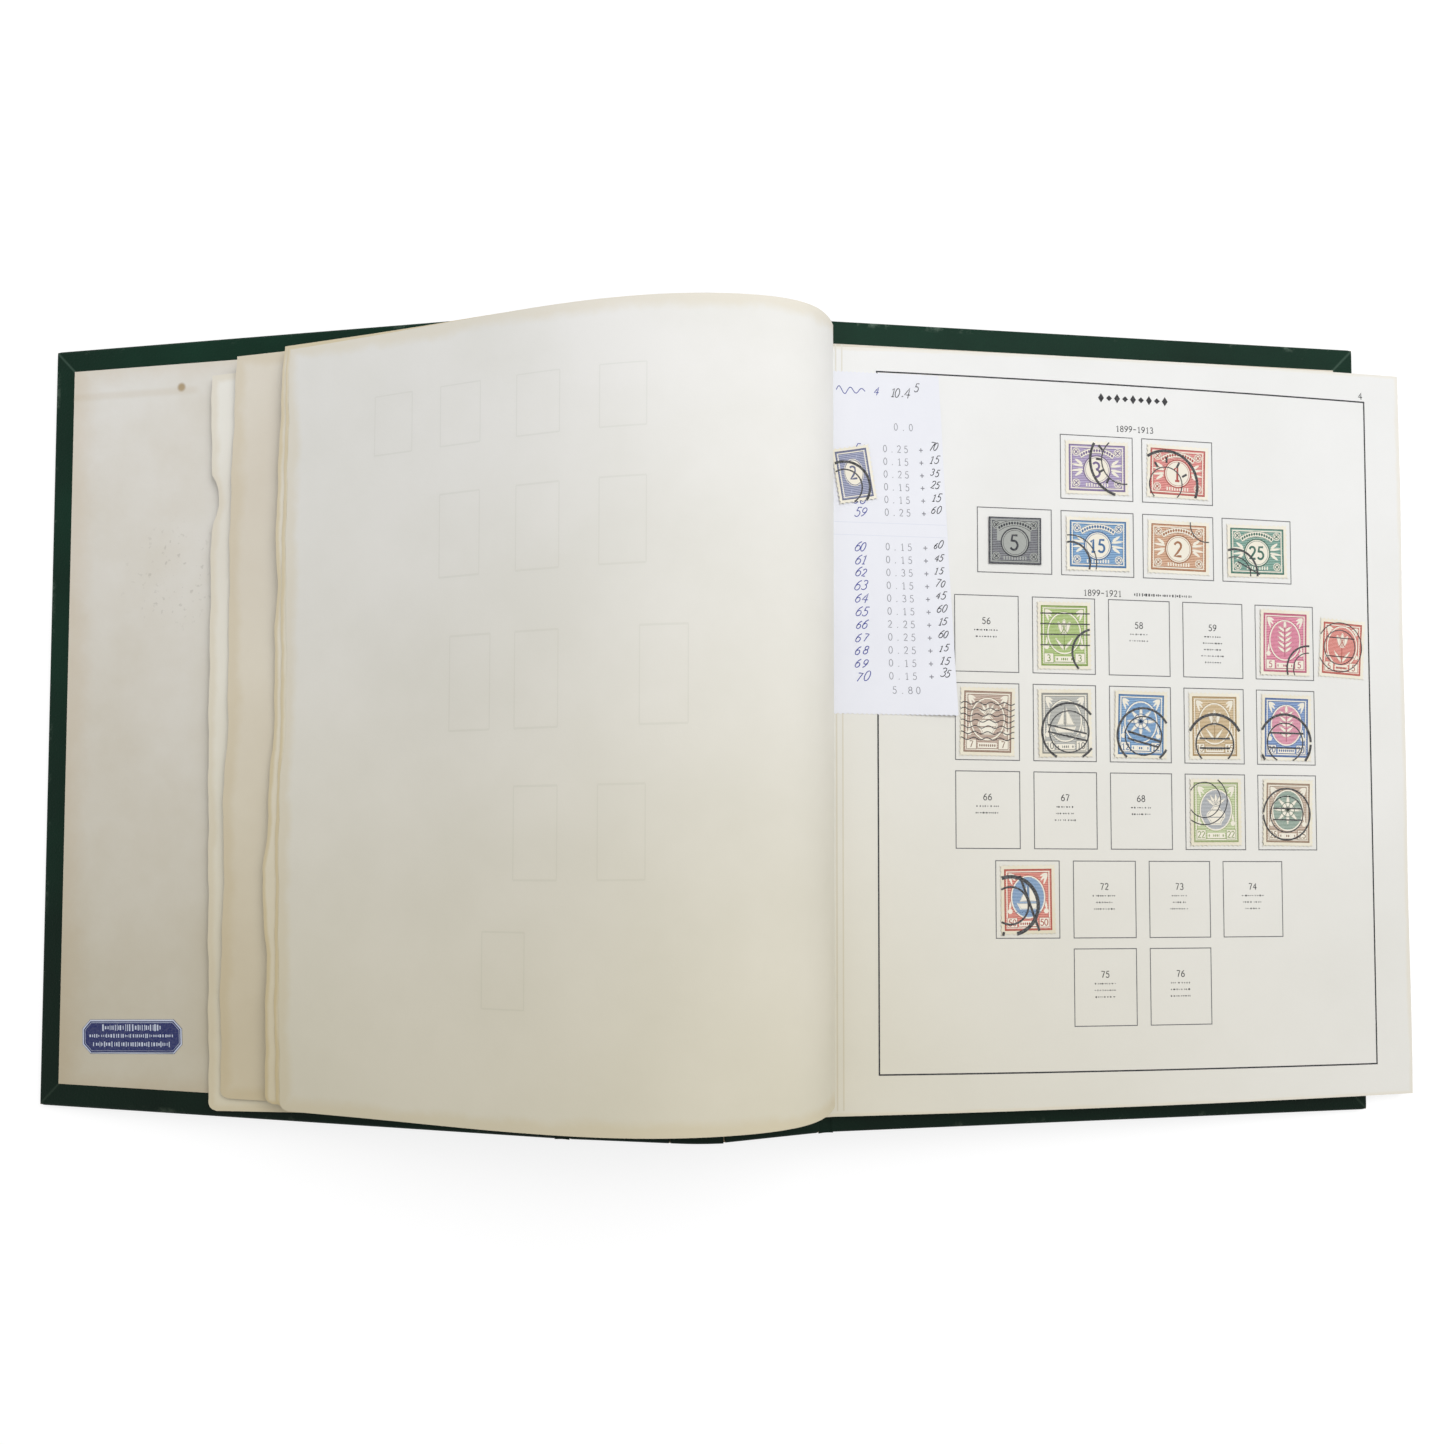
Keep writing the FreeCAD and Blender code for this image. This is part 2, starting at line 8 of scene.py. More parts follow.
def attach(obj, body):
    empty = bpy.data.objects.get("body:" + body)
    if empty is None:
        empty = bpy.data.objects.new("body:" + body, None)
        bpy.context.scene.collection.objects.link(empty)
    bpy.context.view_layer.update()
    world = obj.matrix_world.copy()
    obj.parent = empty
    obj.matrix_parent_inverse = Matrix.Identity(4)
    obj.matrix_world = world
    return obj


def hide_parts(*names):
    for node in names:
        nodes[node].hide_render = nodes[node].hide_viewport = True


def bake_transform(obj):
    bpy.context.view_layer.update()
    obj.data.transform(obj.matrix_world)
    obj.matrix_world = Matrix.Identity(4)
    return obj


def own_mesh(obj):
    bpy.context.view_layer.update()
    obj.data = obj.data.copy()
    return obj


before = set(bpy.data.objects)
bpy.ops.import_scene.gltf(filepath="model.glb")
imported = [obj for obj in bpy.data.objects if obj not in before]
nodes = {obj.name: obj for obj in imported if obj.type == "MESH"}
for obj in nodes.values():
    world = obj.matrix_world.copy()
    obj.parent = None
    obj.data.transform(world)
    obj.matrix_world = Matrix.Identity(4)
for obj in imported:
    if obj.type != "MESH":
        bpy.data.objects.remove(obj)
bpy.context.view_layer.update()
print("stage: frame loaded,", len(nodes), "solids")


# numbers shared by the whole album, in mm and degrees, as the solids have them
album = {
    "shiftX": -7.7756, "coverHeight": 288.0, "boardLength": 205.5, "leverLength": 36.0, "jointHalf": 2.0,
    "coverThick": 3.2, "leverStart": 3.2, "frontLeverTilt": 7.4, "backLeverTilt": 20.5,
    "jawX": 5.3, "jawZ": 48.3, "jawRound": 2.1, "innerRadius": 2.42,
    "leafHeight": 270.0, "leafWidth": 222.4, "leafThick": 0.28, "leafPitch": 0.32, "leafCount": 19,
    "rightCount": 14, "leafShift": -2.2, "bulge": 2.8, "foreEdgeLift": 0.35, "gripDepth": 14.0,
    "turnRadius": 3.0, "turnShort": 5.6, "humpHeight": 32.0, "leftShift": 1.6, "leftSkew": 0.0255,
    "pageTurn": -0.7, "pageMiddle": 115.3,
}


def unit(degrees):  # cosine and sine of one angle, or of each angle in a list
    return np.stack([np.cos(np.radians(degrees)), np.sin(np.radians(degrees))], -1)


def smooth(x):  # 3x^2 - 2x^3 between 0 and 1
    x = np.clip(x, 0, 1)
    return x * x * (3 - 2 * x)


def coverSide(sign, leverTilt):
    # section of one side in X and Z: the lever slopes off from the jaw, and the board from the crease, by the angle
    # whose sine brings its outer corner down to the table
    jaw = np.array([sign * album["jawX"], album["jawZ"]])
    along, normal = unit(-leverTilt) * (sign, 1), unit(90 - leverTilt) * (sign, 1)
    face = jaw + album["jawRound"] * normal
    reach = album["leverStart"] + album["leverLength"] + album["jointHalf"]
    crease = face + reach * along
    run = album["jointHalf"] + album["boardLength"]
    tilt = math.asin(crease[1] / math.hypot(run, album["coverThick"])) - math.atan2(album["coverThick"], run)
    tilt = math.degrees(tilt)
    boardAlong, boardNormal = unit(-tilt) * (sign, 1), unit(90 - tilt) * (sign, 1)
    return {"sign": sign, "leverTilt": leverTilt, "jaw": jaw, "along": along, "normal": normal, "reach": reach,
            "lever": face + album["leverStart"] * along, "crease": crease, "tilt": tilt, "boardAlong": boardAlong,
            "boardNormal": boardNormal, "board": crease + album["jointHalf"] * boardAlong}


front = coverSide(-1, album["frontLeverTilt"])
back = coverSide(1, album["backLeverTilt"])


def toScene(x, y, z):  # section millimetres to scene metres
    return np.stack(np.broadcast_arrays(x + album["shiftX"], y, z), -1) * 0.001


# mesh helpers

def gridFaces(rows, columns, start=0):  # quads of a grid, row by row
    i, j = np.meshgrid(np.arange(rows - 1), np.arange(columns - 1), indexing="ij")
    a = start + i * columns + j
    return np.stack([a, a + 1, a + columns + 1, a + columns], -1).reshape(-1, 4)


def makePiece(name, verts, faces, materials, uv=None, slots=None):
    # one mesh at the origin; without slots its faces are turned outwards and shaded smooth, crisp past the angle below
    mesh = bpy.data.meshes.new(name)
    mesh.from_pydata(np.asarray(verts, float).reshape(-1, 3).tolist(), [], np.asarray(faces).tolist())
    if uv is not None:
        layer = mesh.uv_layers.new(name="flat")
        loops = np.zeros(len(mesh.loops), np.int32)
        mesh.loops.foreach_get("vertex_index", loops)
        layer.data.foreach_set("uv", np.asarray(uv, np.float32).reshape(-1, 2)[loops].ravel())
    for material in materials:
        mesh.materials.append(material)
    if slots is not None:
        mesh.polygons.foreach_set("material_index", np.asarray(slots, np.int32))
    shell = bmesh.new()
    shell.from_mesh(mesh)
    bmesh.ops.remove_doubles(shell, verts=shell.verts, dist=1e-7)
    if slots is None:
        bmesh.ops.recalc_face_normals(shell, faces=shell.faces)
    shell.to_mesh(mesh)
    shell.free()
    mesh.polygons.foreach_set("use_smooth", np.full(len(mesh.polygons), slots is None))
    mesh.set_sharp_from_angle(angle=math.radians(38))
    mesh.update()
    piece = bpy.data.objects.new(name, mesh)
    bpy.context.scene.collection.objects.link(piece)
    return piece


def settle(piece, node=None, body=None):  # what carries the piece, and the solid it stands for, which is hidden
    if body:
        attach(piece, body)
    if node:
        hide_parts(node)


def closedSheet(top, under):  # two equal grids and a rim round them, as one closed shell
    rows, columns = top.shape[:2]
    count = rows * columns
    verts = np.concatenate([top.reshape(-1, 3), under.reshape(-1, 3)])
    index = np.arange(count).reshape(rows, columns)
    rim = np.concatenate([index[0], index[1:, -1], index[-1, -2::-1], index[-2:0:-1, 0]])
    nextRim = np.roll(rim, -1)
    sides = np.stack([rim, nextRim, nextRim + count, rim + count], -1)
    faces = np.concatenate([gridFaces(rows, columns), gridFaces(rows, columns, count)[:, ::-1], sides])
    return verts, faces


def together(sheets):  # several sheets as one mesh: the faces of each count on from the sheets before it
    starts = np.cumsum([0] + [len(verts) for verts, faces in sheets])
    faces = [faces + start for (verts, faces), start in zip(sheets, starts)]
    return np.concatenate([verts for verts, face in sheets]), np.concatenate(faces)


def closed(line):  # a line with its first point again at its end
    return np.concatenate([line, line[:1]])


def pathNormals(path):  # unit normals of a line, to its left
    way = np.gradient(path, axis=0)
    way /= np.linalg.norm(way, axis=1)[:, None] + 1e-9
    return np.stack([-way[:, 1], way[:, 0]], -1)


def pathLength(path):  # distance run along a line, point by point
    return np.concatenate([[0], np.cumsum(np.linalg.norm(np.diff(path, axis=0), axis=1))])


# materials: every colour is mixed by noise, so no surface is one flat tone

making = {}  # the node tree that is being filled


def feed(socket, value):  # an input takes the output of another node, or else a plain value
    if isinstance(value, bpy.types.NodeSocket):
        making["tree"].links.new(value, socket)
    else:
        socket.default_value = value


def addNode(kind, values=None, **settings):  # a node with its settings made, then its inputs fed
    node = making["tree"].nodes.new(kind)
    for key, value in settings.items():
        setattr(node, key, value)
    for key, value in (values or {}).items():
        feed(node.inputs[key], value)
    return node


def shader(name, roughness, specular):  # a new material and the inputs of its surface
    material = bpy.data.materials.new(name)
    material.use_nodes = True
    making["tree"] = material.node_tree
    inputs = material.node_tree.nodes["Principled BSDF"].inputs
    feed(inputs["Roughness"], roughness)
    feed(inputs["Specular IOR Level"], specular)
    return material, inputs


def ownPlace():  # the point in the object's own frame, in metres
    return addNode("ShaderNodeTexCoord").outputs["Object"]


def flatPlace():  # the point on the flat map of the sheet
    return addNode("ShaderNodeUVMap", uv_map="flat").outputs["UV"]


def acrossAndUp(point):  # the first two numbers of a point
    return addNode("ShaderNodeSeparateXYZ", {0: point}).outputs[:2]


def noise(scale, detail=4.0, rough=0.55, stretch=(1, 1, 1)):  # 0 to 1 by the object's own place
    mapped = addNode("ShaderNodeMapping", {"Vector": ownPlace(), "Scale": stretch}).outputs[0]
    values = {"Vector": mapped, "Scale": scale, "Detail": detail, "Roughness": rough}
    return addNode("ShaderNodeTexNoise", values).outputs["Fac"]


def ramp(source, low, high, lowColour=(0, 0, 0), highColour=(1, 1, 1)):  # straight from one colour to the other
    node = addNode("ShaderNodeValToRGB", {"Fac": source})
    first, last = node.color_ramp.elements[0], node.color_ramp.elements[1]
    first.position, last.position = low, high
    first.color, last.color = (*lowColour, 1), (*highColour, 1)
    return node.outputs["Color"]


def mixColour(factor, first, second, blend="MIX"):  # first goes over into second, or is multiplied by it
    values = {0: factor, 6: first, 7: (*second, 1)}
    return addNode("ShaderNodeMix", values, data_type="RGBA", blend_type=blend).outputs[2]


def math2(operation, first, second=0.0):  # one sum of two inputs
    return addNode("ShaderNodeMath", {0: first, 1: second}, operation=operation).outputs[0]


def times(first, second):  # product of two inputs
    return math2("MULTIPLY", first, second)


def minus(first, second):  # first less second
    return math2("SUBTRACT", first, second)


def fade(source, start, end, low, high, curve="SMOOTHSTEP"):  # low where the source is start, high where it is end
    values = {"Value": source, "From Min": start, "From Max": end, "To Min": low, "To Max": high}
    return addNode("ShaderNodeMapRange", values, interpolation_type=curve).outputs[0]


def bumpInto(inputs, source, strength, distance):  # tilts the surface by the slope of the source
    values = {"Height": source, "Strength": strength, "Distance": distance}
    feed(inputs["Normal"], addNode("ShaderNodeBump", values).outputs["Normal"])


def srgb(r, g, b):  # 0..255 screen colour to the shader's linear values
    c = np.array([r, g, b]) / 255
    return tuple(np.where(c < 0.04045, c / 12.92, ((c + 0.055) / 1.055) ** 2.4))


# the foot, across, far-foot and foot-tone numbers paint shade onto the foot of each paper, darker and warmer, weakest
# far from the fold
paperLook = {"sheet": (222, 270), "ragged": (45.0, 4.0, 0.65), "foot": (0.14, -0.165), "across": (0.02, 0.26),
             "farFootShade": 0.35, "footShadeTone": (0.80, 0.755, 0.62), "fibre": (900.0, 3.0, 0.6)}


def paperFinish(name, pale, tone, tan=None, reach=3.0, depth=0.7, blotch=14.0, footShadeTone=paperLook["footShadeTone"]):
    # two tones of paper by slow noise, tan that creeps in from the edges by the flat map, painted shade that darkens
    # and warms the foot and fades away from the fold, and a fine fibre bump
    material, inputs = shader(name, 0.78, 0.18)
    colour = ramp(noise(blotch, 5.0, 0.6), 0.35, 0.68, srgb(*tone), srgb(*pale))
    if tan:
        u, v = acrossAndUp(flatPlace())
        fromEdge = times(minus(1.0, u), paperLook["sheet"][0])
        fromSide = times(math2("MINIMUM", v, minus(1.0, v)), paperLook["sheet"][1])
        wobble = times(noise(*paperLook["ragged"]), -2.0 * reach)
        inside = math2("ADD", math2("MINIMUM", fromEdge, fromSide), wobble)
        colour = mixColour(fade(inside, -0.6 * reach, 0.5 * reach, depth, 0.0), colour, srgb(*tan))
    # painted shade: the foot of the sheet is multiplied darker and warmer, most next to the fold
    x, y = acrossAndUp(ownPlace())
    across = fade(x, *paperLook["across"], 1.0, paperLook["farFootShade"], "LINEAR")
    foot = times(fade(y, *paperLook["foot"], 0.0, 1.0), across)
    feed(inputs["Base Color"], mixColour(foot, colour, footShadeTone, "MULTIPLY"))
    bumpInto(inputs, noise(*paperLook["fibre"]), 0.12, 0.0002)
    return material


# the foot zone is where painted shade darkens the endpaper; the spot, line and specks are stains
endStainsAndShade = {"spot": (-0.2035, 0.1265), "spotSize": 0.0022, "lineY": 0.1252, "linePen": (0.0004, 0.0022),
             "lineTo": -0.199, "lineFade": 0.004, "outer": -0.2465, "head": 0.137, "ragged": 0.012,
             "tanZone": (-0.008, 0.004), "footShadeZone": (-0.16, 0.12), "speckle": (-0.205, 0.055), "speckleSize": 0.028}


def endFinish(name):
    # aged endpaper: slow clouds, tan towards its edges, painted shade that darkens and browns its foot,
    # a spot, a faint level line and a patch of specks
    material, inputs = shader(name, 0.8, 0.15)
    x, y = acrossAndUp(ownPlace())

    def near(spot, size, core, depth):  # depth round a point of the sheet, nothing further off than the size
        flat = addNode("ShaderNodeCombineXYZ", {"X": x, "Y": y}).outputs[0]
        far = addNode("ShaderNodeVectorMath", {0: flat, 1: (*spot, 0)}, operation="DISTANCE").outputs["Value"]
        return fade(far, core * size, size, depth, 0.0)

    ragged = times(noise(60.0, 4.0, 0.65), endStainsAndShade["ragged"])
    inside = (minus(x, endStainsAndShade["outer"]), minus(endStainsAndShade["head"], math2("ABSOLUTE", y)))
    edge = math2("MINIMUM", *(minus(distance, ragged) for distance in inside))
    off = math2("ABSOLUTE", minus(y, endStainsAndShade["lineY"]))
    lineEnd = fade(x, endStainsAndShade["lineTo"], endStainsAndShade["lineTo"] + endStainsAndShade["lineFade"], 1.0, 0.0)
    specks = ramp(noise(420.0, 2.0, 0.5), 0.63, 0.70)
    specks = times(specks, near(endStainsAndShade["speckle"], endStainsAndShade["speckleSize"], 0.3, 0.26))
    colour = ramp(noise(18.0, 5.0, 0.6), 0.32, 0.7, srgb(222, 217, 206), srgb(233, 231, 226))
    for factor, stain, blend in (
            (fade(edge, *endStainsAndShade["tanZone"], 0.3, 0.0), srgb(206, 184, 148), "MIX"),
            # painted shade: the foot multiplied darker and browner
            (fade(y, *endStainsAndShade["footShadeZone"], 1.0, 0.0), (0.71, 0.67, 0.56), "MULTIPLY"),
            (near(endStainsAndShade["spot"], endStainsAndShade["spotSize"], 0.4, 0.75), srgb(158, 128, 72), "MIX"),
            (times(fade(off, *endStainsAndShade["linePen"], 0.18, 0.0), lineEnd), srgb(196, 178, 146), "MIX"),
            (specks, srgb(140, 134, 122), "MIX")):
        colour = mixColour(factor, colour, stain, blend)
    feed(inputs["Base Color"], colour)
    bumpInto(inputs, noise(700.0, 3.0, 0.6), 0.15, 0.0002)
    return material


leatherLook = {"dark": (6, 33, 22), "light": (13, 48, 34), "rubbed": (120, 140, 125), "worn": (122, 142, 128),
               "mitreHighlight": (96, 122, 108), "wornZone": (0.6, 2.6), "mitreHighlightZone": (0.15, 0.9), "mitreHighlightReach": 10.0,
               "footShadeZone": (0.06, -0.144), "footShadeTone": (0.42, 0.40, 0.36), "grain": 1400.0}


def leatherFinish(name, board):
    # dark green leatherette: slow noise for tone, rubbed spots where fine noise peaks, painted shade that
    # darkens the foot, and small cells for the grain
    material, inputs = shader(name, 0.55, 0.1)
    colour = ramp(noise(22.0), 0.3, 0.75, srgb(*leatherLook["dark"]), srgb(*leatherLook["light"]))
    rub = times(ramp(noise(260.0, 2.0, 0.7), 0.72, 0.80), 0.16)
    colour = mixColour(rub, colour, srgb(*leatherLook["rubbed"]))
    if board:  # rubbed outer edges, and a painted highlight along the mitred seam where the turn-ins meet at each corner
        u, v = acrossAndUp(flatPlace())
        out = times(minus(1.0, u), album["boardLength"])
        side = times(minus(0.5, math2("ABSOLUTE", v)), album["coverHeight"])
        edge = math2("MINIMUM", out, side)
        close = fade(edge, *leatherLook["wornZone"], 1.0, 0.0, "LINEAR")
        worn = times(close, ramp(noise(75.0, 6.0, 0.75), 0.56, 0.66))
        colour = mixColour(times(worn, 0.5), colour, srgb(*leatherLook["worn"]))
        # painted highlight: a paler line along the mitre at each corner, near the edges
        apart = math2("ABSOLUTE", minus(out, side))
        mitreHighlight = fade(apart, *leatherLook["mitreHighlightZone"], 1.0, 0.0, "LINEAR")
        mitreHighlight = times(mitreHighlight, math2("LESS_THAN", edge, leatherLook["mitreHighlightReach"]))
        colour = mixColour(times(mitreHighlight, 0.28), colour, srgb(*leatherLook["mitreHighlight"]))
    # painted shade: the foot of the leatherette is multiplied darker
    low = fade(acrossAndUp(ownPlace())[1], *leatherLook["footShadeZone"], 0.0, 1.0)
    feed(inputs["Base Color"], mixColour(low, colour, leatherLook["footShadeTone"], "MULTIPLY"))
    values = {"Vector": ownPlace(), "Scale": leatherLook["grain"]}
    cells = addNode("ShaderNodeTexVoronoi", values, feature="F1").outputs["Distance"]
    bumpInto(inputs, cells, 0.35, 0.0003)
    return material


def grainFinish(name, gloss, grain, stops, colours, bump=None, metal=0.0):
    # one noise mixes two colours and, where a bump is given, raises the surface too
    material, inputs = shader(name, *gloss)
    source = noise(*grain)
    feed(inputs["Metallic"], metal)
    feed(inputs["Base Color"], ramp(source, *stops, *colours))
    if bump:
        bumpInto(inputs, source, *bump)
    return material


def steelFinish(name, colour, roughness):  # drawn steel: noise stretched along the rail breaks up its gloss
    colours = (tuple(0.72 * c for c in srgb(*colour)), srgb(*colour))
    streaks = (700.0, 3.0, 0.6, (1, 0.02, 1))
    return grainFinish(name, (roughness, 0.5), streaks, (0.3, 0.7), colours, (0.08, 0.0001), 1.0)


def inkFinish(name, colour, strength=0.12, roughness=0.62):
    # printing ink: the paper's grain thins it here and there, by strength towards a pale grey
    colour = srgb(*colour)
    paler = tuple(c + (0.8 - c) * strength for c in colour)
    return grainFinish(name, (roughness, 0.2), (1500.0, 3.0, 0.6), (0.35, 0.75), (colour, paler))


# papers: pale tone, darker tone, then the tan of the edges with its reach in mm and its depth
paper = {key: paperFinish(key + "Paper", *tones) for key, tones in {
    "page": ((236, 236, 235), (231, 231, 229), (228, 216, 190), 1.0, 0.3),
    "hump": ((236, 235, 232), (229, 228, 223), (220, 206, 172), 4.0, 0.34),
    "aged": ((236, 231, 218), (228, 221, 205), (210, 192, 148), 1.3, 0.55),
    "title": ((230, 224, 211), (222, 214, 199), (210, 194, 160), 4.2, 0.36),
    "fly": ((240, 238, 230), (233, 229, 219), (216, 202, 172), 2.4, 0.34),
    "stack": ((236, 233, 224), (226, 221, 208)),
    "hinge": ((226, 222, 206), (214, 208, 190)),
    # darker paper that paints the shade in the scored creases beside the fold
    "scoreShade": ((226, 223, 214), (220, 216, 205)),
}.items()}
# the slip's foot takes only a faint painted shade
paper["slip"] = paperFinish("slipPaper", (233, 234, 240), (228, 229, 236), footShadeTone=(0.97, 0.97, 0.97))
paper["stamp"] = paperFinish("stampPaper", (242, 238, 226), (233, 227, 210), blotch=60.0)
paper["ghost"] = paperFinish("showThrough", (229, 229, 225), (224, 223, 217))
paper["end"] = endFinish("endPaper")
leather = leatherFinish("greenLeatherette", False)
coverLeather = leatherFinish("coverLeatherette", True)
rawBoard = grainFinish("pressedBoard", (0.85, 0.1), (420.0, 5.0, 0.7), (0.3, 0.7),
                       (srgb(128, 112, 90), srgb(170, 152, 124)), (0.3, 0.0003))
springSteel = steelFinish("springSteel", (150, 153, 158), 0.38)
jawSteel = steelFinish("jawSteel", (196, 198, 200), 0.3)
# inks: colour, how far the grain thins it, roughness
inks = {name: inkFinish(name, *look) for name, look in {
    "ruleInk": ((92, 92, 94), 0.1), "darkInk": ((30, 30, 34), 0.1), "greyTypeInk": ((132, 132, 140),),
    "bluePen": ((58, 66, 150), 0.08), "blackPen": ((36, 36, 42), 0.08), "cancelInk": ((40, 40, 42), 0.18),
    # the fold colour is painted shade for the slip's creases
    "foldShadeInk": ((218, 221, 232), 0.3), "silverInk": ((196, 204, 220), 0.2, 0.4),
    "labelBlue": ((24, 34, 92), 0.08, 0.3), "unprintedPaper": ((234, 228, 212), 0.1),
    "palePatch": ((160, 163, 158), 0.1),
}.items()}
print("stage: finishes made,", len(bpy.data.materials))

for material, dressed in ((springSteel, ("spring_back",)), (jawSteel, ("front_jaw", "back_jaw")),
                          (leather, ("spine_cover", "back_lip_cloth")),
                          (rawBoard, ("front_lever", "back_lever", "front_board", "back_board")),
                          (paper["end"], ("front_endpaper", "back_endpaper")), (paper["hinge"], ("stamp_hinges",))):
    for node in dressed:  # the solids that stay in sight
        nodes[node].data.materials.clear()
        nodes[node].data.materials.append(material)


# covers: a skin of leatherette with a rounded edge, turned in over the board

coverSkin = {"edgeRound": 1.3, "cornerRound": 2.4, "turnIn": 14.0, "cloth": 0.4, "arcSteps": 7, "cornerSteps": 9,
             "headSteps": 40, "sideSteps": 56, "faceSteps": 16, "step": 0.05, "wallGap": 0.02, "leverSteps": 6}


def boardPlace(side, start, along, normal):  # board frame to scene: out along the board, across, out of its face
    def put(local):
        section = start + local[..., 0:1] * along + local[..., 2:3] * normal
        return toScene(section[..., 0], side["sign"] * local[..., 1], section[..., 1])
    return put


def makeCover(side, name, node, body):
    # round the three free sides runs one section: turn-in, half-round edge, then the outer face drawn in to the
    # middle line; a plain wall closes the side next to the joint
    length, half, thick = album["boardLength"], album["coverHeight"] / 2, album["coverThick"]
    r, corner, turnIn, cloth = (coverSkin[key] for key in ("edgeRound", "cornerRound", "turnIn", "cloth"))
    head, across, inward, gap = (coverSkin[key] for key in ("headSteps", "sideSteps", "faceSteps", "wallGap"))
    arcX, arcY = corner * unit(np.linspace(90, 0, coverSkin["cornerSteps"])[1:-1]).T
    run = np.linspace(0, length - corner, head)
    midX, midY = length - corner, half - corner
    edgeX = np.concatenate([run, midX + arcX, np.full(across, length), midX + arcX[::-1], run[::-1]])
    edgeY = np.concatenate([np.full(head, half), midY + arcY, np.linspace(midY, -midY, across), -midY - arcY[::-1],
                            np.full(head, -half)])
    c, s = unit(np.linspace(0, 90, coverSkin["arcSteps"])).T
    inset = np.concatenate([[turnIn, turnIn - coverSkin["step"], turnIn * 0.5], r - r * s, r - r * c,
                            np.linspace(turnIn, half, inward)])
    level = np.concatenate([[-cloth, 0, 0], -r + r * c, -thick + r - r * s, np.full(inward, -thick)])
    x = np.minimum(edgeX[:, None], length - inset)
    y = np.clip(edgeY[:, None], inset - half, half - inset)
    rim = np.stack([x, y, np.broadcast_to(level, x.shape)], -1)
    wallY, wallZ = np.linspace(r - half, half - r, head), np.array([-gap, -cloth - coverSkin["step"], gap - thick])
    wall = np.stack(np.broadcast_arrays(-gap, wallY[:, None], wallZ), -1)
    verts, faces = together([(grid.reshape(-1, 3), gridFaces(*grid.shape[:2])) for grid in (rim, wall)])
    put = boardPlace(side, side["board"], side["boardAlong"], side["boardNormal"])
    uv = verts[:, :2] / (length, album["coverHeight"])
    settle(makePiece(name, put(verts), faces, [coverLeather], uv), node, body)


makeCover(front, "frontCover", "front_board_cloth", "front_board")
makeCover(back, "backCover", "back_board_cloth", "back_board")


# levers: the stiff strips beside the mouth, wrapped all round

def makeLever(side, name, node, body):
    # a rounded box: its section is a rounded rectangle, drawn in at both ends by the same round
    length, half, thick, r = album["leverLength"], album["coverHeight"] / 2, album["coverThick"], coverSkin["edgeRound"]
    count, long = coverSkin["leverSteps"], coverSkin["headSteps"]
    c, s = r * unit(np.linspace(0, 90, count)).T
    y = np.concatenate([r - half - c, np.linspace(r - half, half - r, long)[1:-1], half - r + c[::-1]])
    reach = np.concatenate([s, np.full(long - 2, r), s[::-1]])[:, None]
    turnC, turnS = unit(np.concatenate([np.linspace(q, q + 90, count) for q in (0, 90, 180, 270)])).T
    x = np.repeat([length - r, r, r, length - r], count) + reach * turnC
    z = np.repeat([-r, -r, r - thick, r - thick], count) + reach * turnS
    middle = np.full((1, 4 * count), -thick / 2)
    x, z = np.concatenate([x[:1], x, x[-1:]]), np.concatenate([middle, z, middle])
    y = np.concatenate([y[:1], y, y[-1:]])[:, None]
    grid = np.stack(np.broadcast_arrays(x, y, z), -1)
    grid = np.concatenate([grid, grid[:, :1]], 1)
    put = boardPlace(side, side["lever"], side["along"], side["normal"])
    settle(makePiece(name, put(grid), gridFaces(*grid.shape[:2]), [leather]), node, body)


makeLever(front, "frontLever", "front_lever_cloth", "front_lever")
makeLever(back, "backLever", "back_lever_cloth", "spine")


# cloth joints: strips of leatherette over each hinge

jointCloth = {"steps": 14, "across": 30, "tabAcross": 5, "thick": 0.5, "sag": 0.5, "half": 1.95, "above": 0.3,
              "tabHalf": 2.6, "tabBelow": 0.45, "lipStart": (-0.05, -0.4), "lipEnd": (1.6, 0.05)}


def stripSheet(first, last, sag, low, high, rows):
    # a run from first to last in X and Z, sagging as a sine, drawn out from low to high across
    t = np.linspace(0, 1, jointCloth["steps"])
    across = (last - first) / np.linalg.norm(last - first)
    normal = np.array([-across[1], across[0]])
    line = first + t[:, None] * (last - first) - sag * np.sin(math.pi * t)[:, None] * normal
    y = np.linspace(low, high, rows)[None, :]
    half = jointCloth["thick"] / 2
    over, below = line + half * normal, line - half * normal
    return closedSheet(toScene(over[:, :1], y, over[:, 1:]), toScene(below[:, :1], y, below[:, 1:]))


def clothStrip(name, node, first, last, sag, bodies, tabs=()):
    # one strip over the whole height; each tab is the cloth turned in over head and foot, level with the inner face
    half, turnIn = album["coverHeight"] / 2, coverSkin["turnIn"]
    sheets = [stripSheet(first, last, sag, -half, half, jointCloth["across"])]
    for tab in tabs:
        for low in (-half, half - turnIn):
            sheets.append(stripSheet(*tab, sag, low, low + turnIn, jointCloth["tabAcross"]))
    piece = makePiece(name, *together(sheets), [leather])
    start, end = (tuple(toScene(x, 0, z)) for x, z in (first, last))
    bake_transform(piece)
    settle(piece, node)


for side, name, bodies in ((front, "front", ("front_lever", "front_board")), (back, "back", ("spine", "back_board"))):
    ends, tab = [], []
    for sign, along, normal in ((-1, side["along"], side["normal"]), (1, side["boardAlong"], side["boardNormal"])):
        below = jointCloth["above"] - album["coverThick"]
        ends.append(side["crease"] + sign * jointCloth["half"] * along + below * normal)
        tab.append(side["crease"] + sign * jointCloth["tabHalf"] * along - jointCloth["tabBelow"] * normal)
    clothStrip(name + "Joint", name + "_joint_cloth", *ends, jointCloth["sag"] * side["sign"], bodies, (tab,))
lipStart = front["jaw"] - (album["jawRound"], 0) + jointCloth["lipStart"]
lipEnd = front["lever"] - jointCloth["lipEnd"][0] * front["normal"] - jointCloth["lipEnd"][1] * front["along"]
clothStrip("frontLip", "front_lip_cloth", lipStart, lipEnd, 0.0, ("spine", "front_lever"))
print("stage: covers done")


# leaves: every one is a section line in X and Z, carried across the page height

